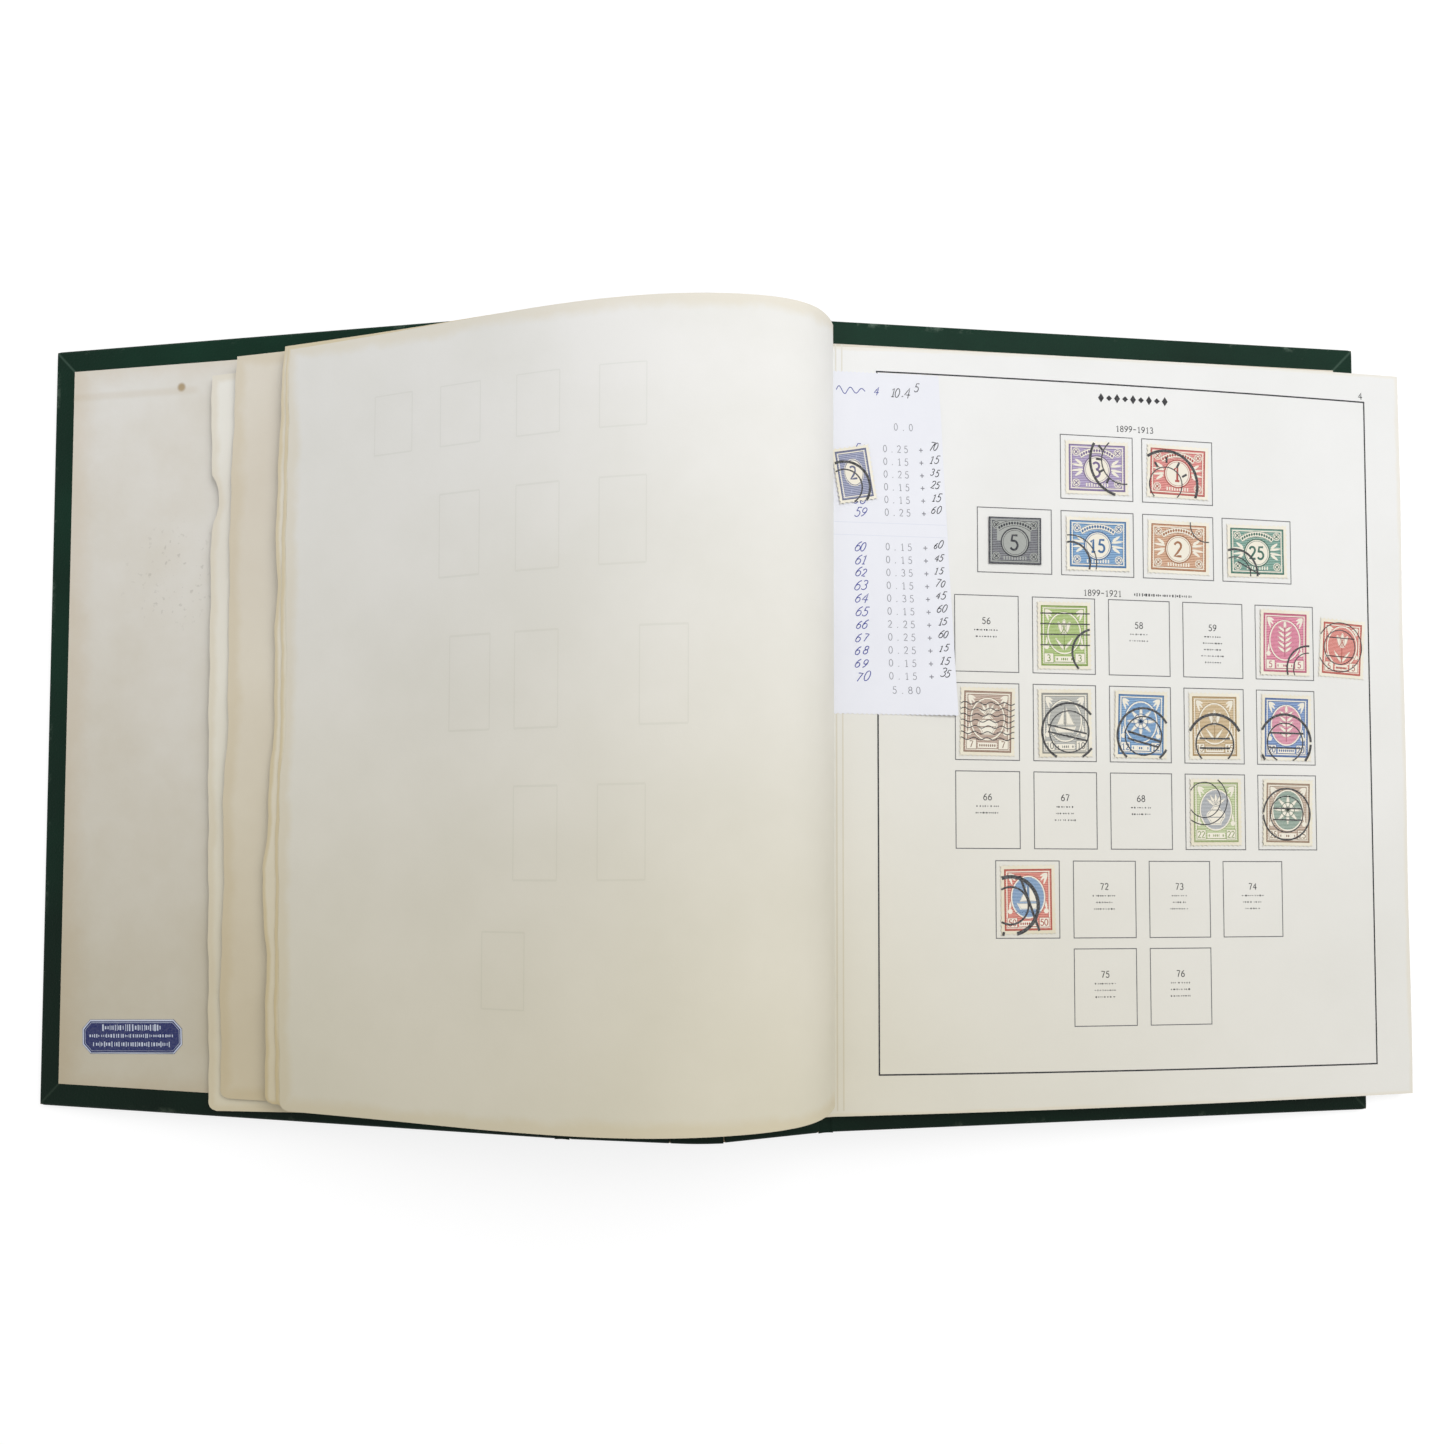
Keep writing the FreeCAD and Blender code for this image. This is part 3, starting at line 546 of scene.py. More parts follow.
def restCurve(t):  # cubic from the fold to the fore-edge of the lowest right leaf, and its unit normals
    start = back["crease"] + (album["innerRadius"] - album["jawRound"]) * back["normal"]
    end = back["crease"] + album["leafWidth"] * back["boardAlong"] + album["foreEdgeLift"] * back["boardNormal"]
    chord = math.degrees(math.atan2(*(end - start)[::-1]))
    rise = math.degrees(math.atan(4 * album["bulge"] / album["leafWidth"]))
    third = album["leafWidth"] / 3
    handles = np.array([start, start + third * unit(chord + rise), end - third * unit(chord - rise), end])
    t = np.asarray(t, float)[..., None]
    weights = ((1 - t) ** 3, 3 * (1 - t) ** 2 * t, 3 * (1 - t) * t ** 2, t ** 3)
    slopes = ((1 - t) ** 2, 2 * (1 - t) * t, t ** 2)
    point = sum(w * h for w, h in zip(weights, handles))
    way = sum(w * h for w, h in zip(slopes, np.diff(handles, axis=0)))
    way = way / np.linalg.norm(way, axis=-1, keepdims=True)
    return point, np.stack([-way[..., 1], way[..., 0]], -1)


def stubLine(offset, reach):  # up out of the mouth, round the back jaw, then along the back lever
    radius = album["innerRadius"] + offset
    up = np.linspace(-album["gripDepth"], 0, 6)[:-1]
    rise = np.stack([np.full(len(up), back["jaw"][0] - radius), album["jawZ"] + up], -1)
    bend = back["jaw"] + radius * unit(np.linspace(180, 90 - back["leverTilt"], 18))
    run = bend[-1] + np.linspace(0, reach, 10)[1:, None] * back["along"]
    return np.concatenate([rise, bend, run])


leafLook = {"rows": 100, "stubRows": 12, "foldBend": 1.6, "spare": 12, "edgeZone": 60, "even": 0.2,
            "rippleFrom": 0.6, "ripples": ((1.0, 9.4), (0.5, 21)), "ragged": ((0.2, 61, 0), (0.12, 143, 1)),
            "corner": 3.2}


def rightLine(offset, steps=60):  # stub, a short bend at the fold, and the run over the back board
    point, normal = restCurve(np.linspace(0, 1, steps))
    lying = point + offset * normal
    return np.concatenate([stubLine(offset, back["reach"] - leafLook["foldBend"]), lying[1:]])


def splineLine(points, startWay, steps):
    # cubic through the points, its slopes solved so that bending is continuous and the start has the given heading
    gaps = np.linalg.norm(np.diff(points, axis=0), axis=1)
    count = len(points)
    matrix, right = np.zeros((count, count)), np.zeros((count, 2))
    matrix[0, 0], right[0] = 1, startWay
    for k in range(1, count - 1):
        before, after = gaps[k - 1], gaps[k]
        matrix[k, k - 1:k + 2] = 1 / before, 2 / before + 2 / after, 1 / after
        right[k] = 3 * (points[k] - points[k - 1]) / before ** 2 + 3 * (points[k + 1] - points[k]) / after ** 2
    matrix[-1, -2:], right[-1] = (1, 2), 3 * (points[-1] - points[-2]) / gaps[-1]
    slope = np.linalg.solve(matrix, right)
    knots = np.concatenate([[0], np.cumsum(gaps)])
    s = np.linspace(0, knots[-1], steps)
    k = np.clip(np.searchsorted(knots, s, "right") - 1, 0, count - 2)
    u = ((s - knots[k]) / gaps[k])[:, None]
    h = gaps[k][:, None]
    return ((1 + 2 * u) * (1 - u) ** 2 * points[k] + u * (1 - u) ** 2 * h * slope[k]
            + u * u * (3 - 2 * u) * points[k + 1] + u * u * (u - 1) * h * slope[k + 1])


firstOffset = (album["leafCount"] - 1) * album["leafPitch"]
turnReach = back["reach"] - album["turnShort"]
turnCentre = (back["jaw"] + (album["innerRadius"] + firstOffset + album["turnRadius"]) * back["normal"]
              + turnReach * back["along"])


def overSpine(side, reach, lift):  # a point by shares of the back reach from a jaw and of the hump's height
    return side["jaw"] + np.array([reach * back["reach"], lift * album["humpHeight"]])


def overCover(reach, lift):  # a point by shares of the leaf width out from the front crease and of the hump's height
    run = reach * album["leafWidth"]
    return front["crease"] + np.array([-run, lift * album["humpHeight"] - run * math.tan(math.radians(front["tilt"]))])


lowPath = np.array([overSpine(back, 0.55, 0.19), overSpine(back, -0.01, 0.39), overSpine(front, -0.48, 0.27),
                    overCover(0.13, 0.17), overCover(0.375, 0.125), overCover(0.587, 0.1)])
highPath = np.array([overSpine(back, 0.8, 0.56), overSpine(back, 0.16, 0.94), overSpine(front, -0.48, 0.93),
                     overCover(0.084, 0.8), overCover(0.286, 0.547), overCover(0.457, 0.356)])


def leftLine(order, leave, near, far, steps=110):  # the turn beside the fold, then the hump down to the cover
    radius = album["turnRadius"] + order * album["leafPitch"]
    bend = turnCentre + radius * unit(np.linspace(-90 - back["leverTilt"], leave - 90, 20))
    share = np.linspace(near, far, len(lowPath))[:, None]
    points = np.concatenate([bend[-1:], lowPath + share * (highPath - lowPath)])
    return np.concatenate([bend, splineLine(points, unit(leave), steps)[1:]])


def leafGrid(line, rows, trim=None, wave=None, skew=0.0, shift=0.0):
    # the line is carried across the height; near the fore-edge trim shortens or lengthens it and wave lifts it
    t = np.linspace(0, 1, rows)
    v = leafLook["even"] * t + (1 - leafLook["even"]) * (0.5 - 0.5 * np.cos(math.pi * t))
    y = (v - 0.5) * album["leafHeight"]
    way = line[-1:] - line[-2:-1]
    longer = np.concatenate([line, line[-1:] + leafLook["spare"] * way / np.linalg.norm(way)])
    s = pathLength(longer)
    full = s[-2]
    near = smooth((s[:-1] - full + leafLook["edgeZone"]) / leafLook["edgeZone"])
    along = s[:-1, None] + near[:, None] * (trim(v) if trim else 0 * v)
    columns = (*longer.T, *pathNormals(longer).T)
    x, z, nx, nz = (np.interp(along.ravel(), s, column).reshape(along.shape) for column in columns)
    lift = wave(along / full, v) if wave else 0
    across = y + shift + skew * (x - front["jaw"][0])
    uv = np.stack(np.broadcast_arrays(s[:-1, None] / full, v), -1)
    half = album["leafThick"] / 2
    top, under = (toScene(x + (lift + h) * nx, across, z + (lift + h) * nz) for h in (half, -half))
    return top, under, uv


def makeLeaf(name, grid, material):  # both sides of the grid and its rim, with the flat map on each side
    top, under, uv = grid
    return makePiece(name, *closedSheet(top, under), [material], np.concatenate([uv.reshape(-1, 2)] * 2))


def cornerCut(v, r):  # how far a worn foot corner of radius r has drawn the edge back, by share of the height
    d = np.clip(r - v * album["leafHeight"], 0, r)
    return r - np.sqrt(r * r - d * d)


def edgeLine(points):  # edge offset in mm by share of the height: straight between a few points, with small waves
    share, offset = np.array(points).T

    def trim(v):
        waves = sum(size * np.sin(v * turns + phase) for size, turns, phase in leafLook["ragged"])
        return np.interp(v, share, offset) + waves - cornerCut(v, leafLook["corner"])
    return trim


# left leaves, from the fly-leaf next to the cover to the blank leaf on top of the hump
# each: node, heading as it leaves the turn, shares of the hump near and far, finish, mm of ripple, its phase, skew,
# and the fore-edge by share of the height and mm past the drawn edge
leftLeaves = {
    "flyLeaf": ("flyleaf", 158.0, 0.0, 0.0, "fly", 0.3, 0.0, 0.018, [
        (0, 0.6), (0.09, 1.6), (0.18, 2.0), (0.36, 2.9), (0.55, 3.4), (0.73, 4.1), (0.79, 4.0), (0.803, 2.4),
        (0.82, 1.2), (0.838, 0.9), (0.85, 2.0), (0.862, 4.2), (0.91, 4.8), (1, 5.1)]),
    "titleLeaf": ("title_leaf", 140.0, 0.26, 0.31, "title", 0.7, 1.0, -0.0115, [
        (0, 4.8), (0.15, 5.3), (0.205, 4.6), (0.28, 4.3), (0.35, 4.4), (0.39, 5.2), (0.425, 4.2), (0.49, 3.1),
        (0.6, 4.6), (0.71, 4.8), (0.82, 4.4), (0.89, 3.9), (1, 2.4)]),
    "leafOne": ("leaf_1", 109.0, 0.9, 0.84, "aged", 0.6, 2.6, -0.013, [
        (0, 0.3), (0.14, 0), (0.19, 0), (0.24, 1.6), (0.28, 2.6), (0.31, 2.5), (0.35, 0.3), (0.39, 0.8), (0.435, 0.2),
        (0.485, -0.7), (0.62, -0.2), (0.67, -1.9), (0.72, -1.0), (0.775, -0.9), (0.85, -1.5), (0.91, -2.3), (1, -3.6)]),
    "leafTwo": ("leaf_2", 105.0, 0.95, 0.93, "aged", 0.6, 2.6, -0.008, [
        (0, -1.8), (0.2, -0.9), (0.37, -0.2), (0.46, -0.9), (0.62, -0.5), (0.775, -1.2), (1, -2.2)]),
    "leafThree": ("leaf_3", 102.0, 1.0, 1.0, "hump", 0.6, 2.6, 0.0, [
        (0, -1.5), (0.14, -1.1), (0.25, 0), (0.35, 0.3), (0.425, 0.6), (0.485, -1.0), (0.775, -0.7), (0.92, -1.3),
        (1, -1.5)]),
}
closing = {"joint": "left_leaves_turn", "chord": 183.3, "lift": 0.6, "keep": 0.03}
squashAxis = -unit(closing["chord"] + 90)
squashAt = turnCentre + closing["lift"] * squashAxis


def squashLeaf(piece):  # the piece gets a mesh of its own
    tuple(toScene(squashAt[0], 0, squashAt[1]))
    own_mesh(piece)


leafSurface = {}
for order, (name, leaf) in enumerate(leftLeaves.items()):
    node, leave, near, far, finish, size, phase, skew, edge = leaf

    def ripple(u, v):  # two sines over the height, growing towards the fore-edge
        waves = sum(share * np.sin(v * turns + phase) for share, turns in leafLook["ripples"])
        return size * smooth((u - leafLook["rippleFrom"]) / (1 - leafLook["rippleFrom"])) * waves

    leafSurface[name] = leafGrid(leftLine(order, leave, near, far), leafLook["rows"], edgeLine(edge), ripple,
                                 album["leftSkew"] + skew, album["leftShift"])
    piece = makeLeaf(name, leafSurface[name], paper[finish])
    settle(piece, node, "left_leaves")
    squashLeaf(piece)


def joined(pieces, name):  # several pieces as one, under a new name
    with bpy.context.temp_override(active_object=pieces[0], selected_editable_objects=pieces):
        bpy.ops.object.join()
    pieces[0].name = name
    return pieces[0]


stubs = []
for k in range(len(leftLeaves)):
    line = stubLine((album["leafCount"] - 1 - k) * album["leafPitch"], turnReach)
    grid = leafGrid(line, leafLook["stubRows"], skew=album["leftSkew"], shift=album["leftShift"])
    stubs.append(makeLeaf("stub%d" % k, grid, paper["aged"]))
settle(joined(stubs, "leafStubs"), body="spine")

# right leaves: the stack under the open page, each fore-edge a little different
stackLook = {"seed": 11, "edge": 0.5, "back": 0.5, "wave": 0.2, "turns": 23, "slide": 0.25, "sheetRows": 24}
rng = np.random.default_rng(stackLook["seed"])
sheets = []
for k in range(album["rightCount"] - 1):
    foot, head = rng.normal(0, stackLook["edge"], 2)

    def trim(v):  # straight from foot to head, with one slow sine
        wave = stackLook["wave"] * np.sin(v * stackLook["turns"] + k)
        return foot * (1 - v) + head * v - stackLook["back"] + wave

    grid = leafGrid(rightLine(k * album["leafPitch"]), stackLook["sheetRows"], trim,
                    shift=album["leafShift"] + rng.normal(0, stackLook["slide"]))
    sheets.append(makeLeaf("sheet%d" % k, grid, paper["stack"]))
settle(joined(sheets, "leafStack"), "leaf_block", "spine")

# the open page over the stack, and a point before its fold and a point past it
openPage = {"steps": 120, "rows": 60, "wave": 0.15, "turns": 17, "before": (-2.5, 0.6), "past": (3.5, -0.4)}
pageOffset = (album["rightCount"] - 1) * album["leafPitch"]
pageGrid = leafGrid(rightLine(pageOffset, openPage["steps"]), openPage["rows"],
                    lambda v: openPage["wave"] * np.sin(v * openPage["turns"]), shift=album["leafShift"])
pageLeaf = makeLeaf("openPage", pageGrid, paper["page"])
foldPoint = restCurve(0.0)[0] + pageOffset * restCurve(0.0)[1]
beforeFold, pastFold = (tuple(toScene(foldPoint[0] + x, 0, foldPoint[1] + z))
                        for x, z in (openPage["before"], openPage["past"]))
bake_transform(pageLeaf)
settle(pageLeaf, "leaf_4")
print("stage: leaves done")


# flat artwork: areas and ribbons in millimetres, each with an ink number and a height above the top of its sheet

art = {}  # the drawing that is being made


def newArt(up=0.0):  # an empty drawing on a sheet that is as thick as up
    art.update(points=[], faces=[], inks=[], count=0, up=up)


def addQuads(points, faces, ink, lift):  # points with their height, and faces that count on from those before
    points = np.asarray(points, float).reshape(-1, 2)
    height = art["up"] + np.asarray(lift, float)
    art["points"].append(np.column_stack([points, np.broadcast_to(height, len(points))]))
    art["faces"].append(faces + art["count"])
    art["inks"].append(np.full(len(faces), ink))
    art["count"] += len(points)


def addArea(outline, ink, lift=0.0, rings=(0, 1)):  # rings of the outline drawn in to its middle, joined by quads
    outline = np.asarray(outline, float)
    middle = outline.mean(0)
    grid = middle + np.asarray(rings, float)[:, None, None] * (closed(outline) - middle)
    addQuads(grid, gridFaces(*grid.shape[:2])[:, ::-1], ink, lift)


def addRibbon(line, width, ink, lift=0.0):  # the line widened by half the width to both sides
    line = np.asarray(line, float)
    side = pathNormals(line) * width / 2
    addQuads(np.stack([line + side, line - side], 1), gridFaces(len(line), 2), ink, lift)


def addSlab(outline, ink, rings):  # the sheet itself: its outline filled above and below, with a wall round it
    addArea(outline, ink, 0.0, rings)
    addArea(outline[::-1], ink, -art["up"], rings)
    loop = closed(outline)
    addQuads(np.stack([loop, loop]), gridFaces(2, len(loop)), ink, np.repeat([-art["up"], 0.0], len(loop)))


def straight(first, last, step=5.0):  # points along a straight line, no further apart than the step
    first, last = np.asarray(first, float), np.asarray(last, float)
    count = max(2, int(np.linalg.norm(last - first) / step) + 2)
    return first + np.linspace(0, 1, count)[:, None] * (last - first)


def arcLine(x, y, rx, ry, start, end, count=14):  # points on an oval from one angle to another
    return (x, y) + (rx, ry) * unit(np.linspace(start, end, count))


def ring(x, y, rx, ry, count):  # a whole oval as a closed line
    return arcLine(x, y, rx, ry, 0, 360, count)


def addFrame(x, y, width, height, pen, ink, lift=0.0):  # four ribbons round a box
    a, b, e = width / 2, height / 2, pen / 2
    for sign in (-1, 1):
        addRibbon(straight((x - a - e, y + sign * b), (x + a + e, y + sign * b)), pen, ink, lift)
        addRibbon(straight((x + sign * a, y - b), (x + sign * a, y + b)), pen, ink, lift)


def rectangle(width, height, x=0.0, y=0.0, steps=6):  # outline of a box, anticlockwise
    corners = np.array([(-1, -1), (1, -1), (1, 1), (-1, 1)]) * (width / 2, height / 2) + (x, y)
    t = (np.arange(steps) / steps)[:, None]
    return np.concatenate([a + t * (b - a) for a, b in zip(corners, np.roll(corners, -1, 0))])


def oval(rx, ry, x=0.0, y=0.0, count=28):  # outline of an oval
    return arcLine(x, y, rx, ry, 0, 360 - 360 / count, count)


def petal(x, y, length, width, heading, count=12):  # a pointed-round leaf from its foot
    c, s = unit(np.arange(count) * 360 / count).T
    along, across = length * (1 - c) / 2, width / 2 * s * (0.8 + 0.2 * c)
    return (x, y) + along[:, None] * unit(heading) + across[:, None] * unit(heading + 90)


def perforated(width, height, pitch=1.75, depth=0.5):  # box outline bitten by a row of half-round holes
    sides = []
    for length, start, way, inward in ((width, (-1, -1), (1, 0), (0, 1)), (height, (1, -1), (0, 1), (-1, 0)),
                                       (width, (1, 1), (-1, 0), (0, -1)), (height, (-1, 1), (0, -1), (1, 0))):
        teeth = round(length / pitch)
        t = np.arange(teeth * 5) / (teeth * 5)
        bite = depth * np.sqrt(np.abs(np.sin(math.pi * teeth * t)))
        bite[t * teeth < 0.5] *= 0.5
        sides.append(np.array(start) * (width / 2, height / 2) + np.outer(t * length, way) + np.outer(bite, inward))
    return np.concatenate(sides)


six = [[(0.8, 1.56), (0.45, 1.32), (0.2, 0.92), (0.1, 0.5)], arcLine(0.5, 0.46, 0.4, 0.45, 175, -185, 13)]
two = [arcLine(0.48, 1.16, 0.38, 0.41, 165, -35, 9), [(0.45, 0.42), (0.1, 0.04), (0.55, 0.04), (0.92, 0.04)]]
three = [arcLine(0.46, 1.2, 0.36, 0.37, 150, -85, 9), arcLine(0.46, 0.42, 0.42, 0.41, 85, -150, 11)]
five = [[(0.86, 1.56), (0.3, 1.56), (0.2, 0.9)], arcLine(0.45, 0.5, 0.42, 0.49, 110, -150, 11)]
digitLines = {  # strokes of each sign, 1.6 high and about 1 wide
    "0": [arcLine(0.5, 0.8, 0.4, 0.78, 90, 450, 17)],
    "1": [[(0.2, 1.25), (0.55, 1.57), (0.55, 0.8), (0.55, 0.02)], [(0.3, 0.02), (0.8, 0.02)]],
    "2": [np.concatenate(two)],
    "3": [np.concatenate(three)],
    "4": [[(0.7, 0.0), (0.7, 0.8), (0.7, 1.56), (0.38, 1.02), (0.06, 0.5), (0.5, 0.5), (0.98, 0.5)]],
    "5": [np.concatenate(five)],
    "6": [np.concatenate(six)],
    "7": [[(0.08, 1.55), (0.5, 1.55), (0.92, 1.55), (0.6, 0.75), (0.38, 0.0)]],
    "8": [arcLine(0.5, 1.19, 0.33, 0.37, -90, 270, 15), arcLine(0.5, 0.42, 0.41, 0.41, 90, 450, 15)],
    "9": [(1.0, 1.6) - np.concatenate(six)],
    "-": [[(0.1, 0.75), (0.9, 0.75)]],
    "+": [[(0.15, 0.75), (0.85, 0.75)], [(0.5, 0.4), (0.5, 1.1)]],
    ".": [[(0.4, 0.02), (0.6, 0.14)]],
}


def writeNumber(text, x, y, height, pen, ink, lift=0.0, slant=0.0, pitch=1.2, dice=None):
    # digit lines scaled to the height, leaning by slant; dice moves and sizes each one a little
    scale = height / 1.6
    for k, sign in enumerate(text):
        wander = dice.normal(0, 0.09, 3) if dice is not None else (0, 0, 0)
        for line in digitLines[sign]:
            p = np.asarray(line, float) * (1 + wander[2])
            px = x + scale * (p[:, 0] + slant * p[:, 1] + (k - len(text) / 2) * pitch + wander[0])
            addRibbon(np.stack([px, y - height / 2 + scale * (p[:, 1] + wander[1])], -1), pen, ink, lift)


def smallPrint(x, y, width, ink, dice, height=0.75, lift=0.0):
    # dashes that stand for a line of small type: random stops scaled to the width, each dash part of its gap
    stops = np.concatenate([[0], np.cumsum(dice.uniform(0.5, 1.15, int(width / 0.9)))])
    stops = x - width / 2 + stops / stops[-1] * width
    for a, b in zip(stops[:-1], stops[1:]):
        tall = height * dice.uniform(0.55, 1.3)
        addRibbon([(a, y), (a + (b - a) * dice.uniform(0.3, 0.62), y)], tall * 0.6, ink, lift)


def finishArt(name, put, materials, node, body):  # the drawing as a piece, carried to its place by put
    verts = put(*np.concatenate(art["points"]).T)
    piece = makePiece(name, verts, np.concatenate(art["faces"]), materials, slots=np.concatenate(art["inks"]))
    settle(piece, node, body)
    return piece


# the open page: its printing, in millimetres along from the fold and across from the middle

pageTop, pageWay = restCurve(np.linspace(0, 1, 500))
pageTop = pageTop + (pageOffset + album["leafThick"] / 2) * pageWay
pageRun = pathLength(pageTop)


def onPage(along, across, lift):  # the point at that run of the page's curve, raised along its normal
    x, z, nx, nz = (np.interp(along, pageRun, column) for column in (*pageTop.T, *pageWay.T))
    lean = math.tan(math.radians(album["pageTurn"]))
    return toScene(x + lift * nx, album["leafShift"] + across + lean * (along - album["pageMiddle"]), z + lift * nz)


# rows: place across, kind and count of boxes; numbers: row and column of a box, its number and lines of small type
pagePrint = {"frame": (18.0, 208.0, -122.3, 125.3), "framePen": 0.55, "boxPen": 0.32, "lift": 0.03, "seed": 4,
             "wideBox": (27.6, 23.3), "tallBox": (23.5, 27.3), "widePitch": 31.3, "tallPitch": 28.8,
             "rows": ((94.3, "wide", 2), (66.5, "wide", 4), (32.8, "tall", 5), (1.4, "tall", 5), (-29.9, "tall", 5),
                      (-61.5, "tall", 4), (-92.7, "tall", 2)),
             "numbers": {(2, 0): ("56", 2), (2, 2): ("58", 2), (2, 3): ("59", 5), (4, 0): ("66", 2), (4, 1): ("67", 3),
                         (4, 2): ("68", 2), (5, 1): ("72", 3), (5, 2): ("73", 3), (5, 3): ("74", 3), (6, 0): ("75", 3),
                         (6, 1): ("76", 3)},
             "numberUp": 4.6, "typeUp": 1.3, "typePitch": 2.35, "typeWidth": (5.5, 9.5),
             "years": (("4", 206.7, 127.6, 2.6, 0.3), ("1899-1913", 114.6, 109.2, 2.2, 0.28),
                       ("1899-1921", 101.5, 48.7, 2.2, 0.28)),
             "lozenges": (114.0, 120.2), "lozengePitch": 3.1, "lozengeHalf": 1.15, "lozengeTall": (3.4, 2.2),
             "scores": (3.2, 5.4), "scoreHalf": 134.5, "scorePen": 0.5, "scoreDrop": -0.01}


def makePagePrint():
    # a frame, rows of boxes spread evenly about the page's middle, numbers with small type, and a row of lozenges
    newArt(pagePrint["lift"])
    dice = np.random.default_rng(pagePrint["seed"])
    left, right, low, high = pagePrint["frame"]
    addFrame((left + right) / 2, (low + high) / 2, right - left, high - low, pagePrint["framePen"], 1)
    for row, (across, kind, count) in enumerate(pagePrint["rows"]):
        for column in range(count):
            along = album["pageMiddle"] + (column - (count - 1) / 2) * pagePrint[kind + "Pitch"]
            addFrame(along, across, *pagePrint[kind + "Box"], pagePrint["boxPen"], 0)
            number, lines = pagePrint["numbers"].get((row, column), ("", 0))
            writeNumber(number, along, across + pagePrint["numberUp"], 2.3, 0.3, 1)
            for k in range(lines):
                level = across + pagePrint["typeUp"] - pagePrint["typePitch"] * k
                smallPrint(along, level, dice.uniform(*pagePrint["typeWidth"]), 1, dice)
    for year in pagePrint["years"]:
        writeNumber(*year, 1)
    smallPrint(125.0, 48.6, 23.0, 1, dice, 1.5)
    middle, y = pagePrint["lozenges"]
    for k in range(-4, 5):
        x, a, b = middle + pagePrint["lozengePitch"] * k, pagePrint["lozengeHalf"], pagePrint["lozengeTall"][k % 2] / 2
        addArea([(x - a, y), (x, y - b), (x + a, y), (x, y + b)], 1)
    for x in pagePrint["scores"]:  # scored lines beside the fold, darker paper as painted shade in their creases
        line = straight((x, -pagePrint["scoreHalf"]), (x, pagePrint["scoreHalf"]))
        addRibbon(line, pagePrint["scorePen"], 2, pagePrint["scoreDrop"])
    materials = [inks["ruleInk"], inks["darkInk"], paper["scoreShade"]]
    finishArt("pagePrint", onPage, materials, None, "page_leaf")


makePagePrint()
print("stage: page printed")


# stamps: perforated paper, an engraved field in one or two inks, and a postmark

stampLook = {"lift": 0.08, "thick": 0.1, "margin": 1.75, "plateMargin": 0.15, "hatch": 0.62, "markMargin": 0.4,
             "wide": (24.6, 20.0), "tall": (20.6, 24.8), "small": (19.4, 16.8), "extra": (19.1, 22.3),
             "curl": (0.12, 0.05), "dark": 0.76, "pale": 0.42, "paleGrey": 236, "motifUp": 1.2}
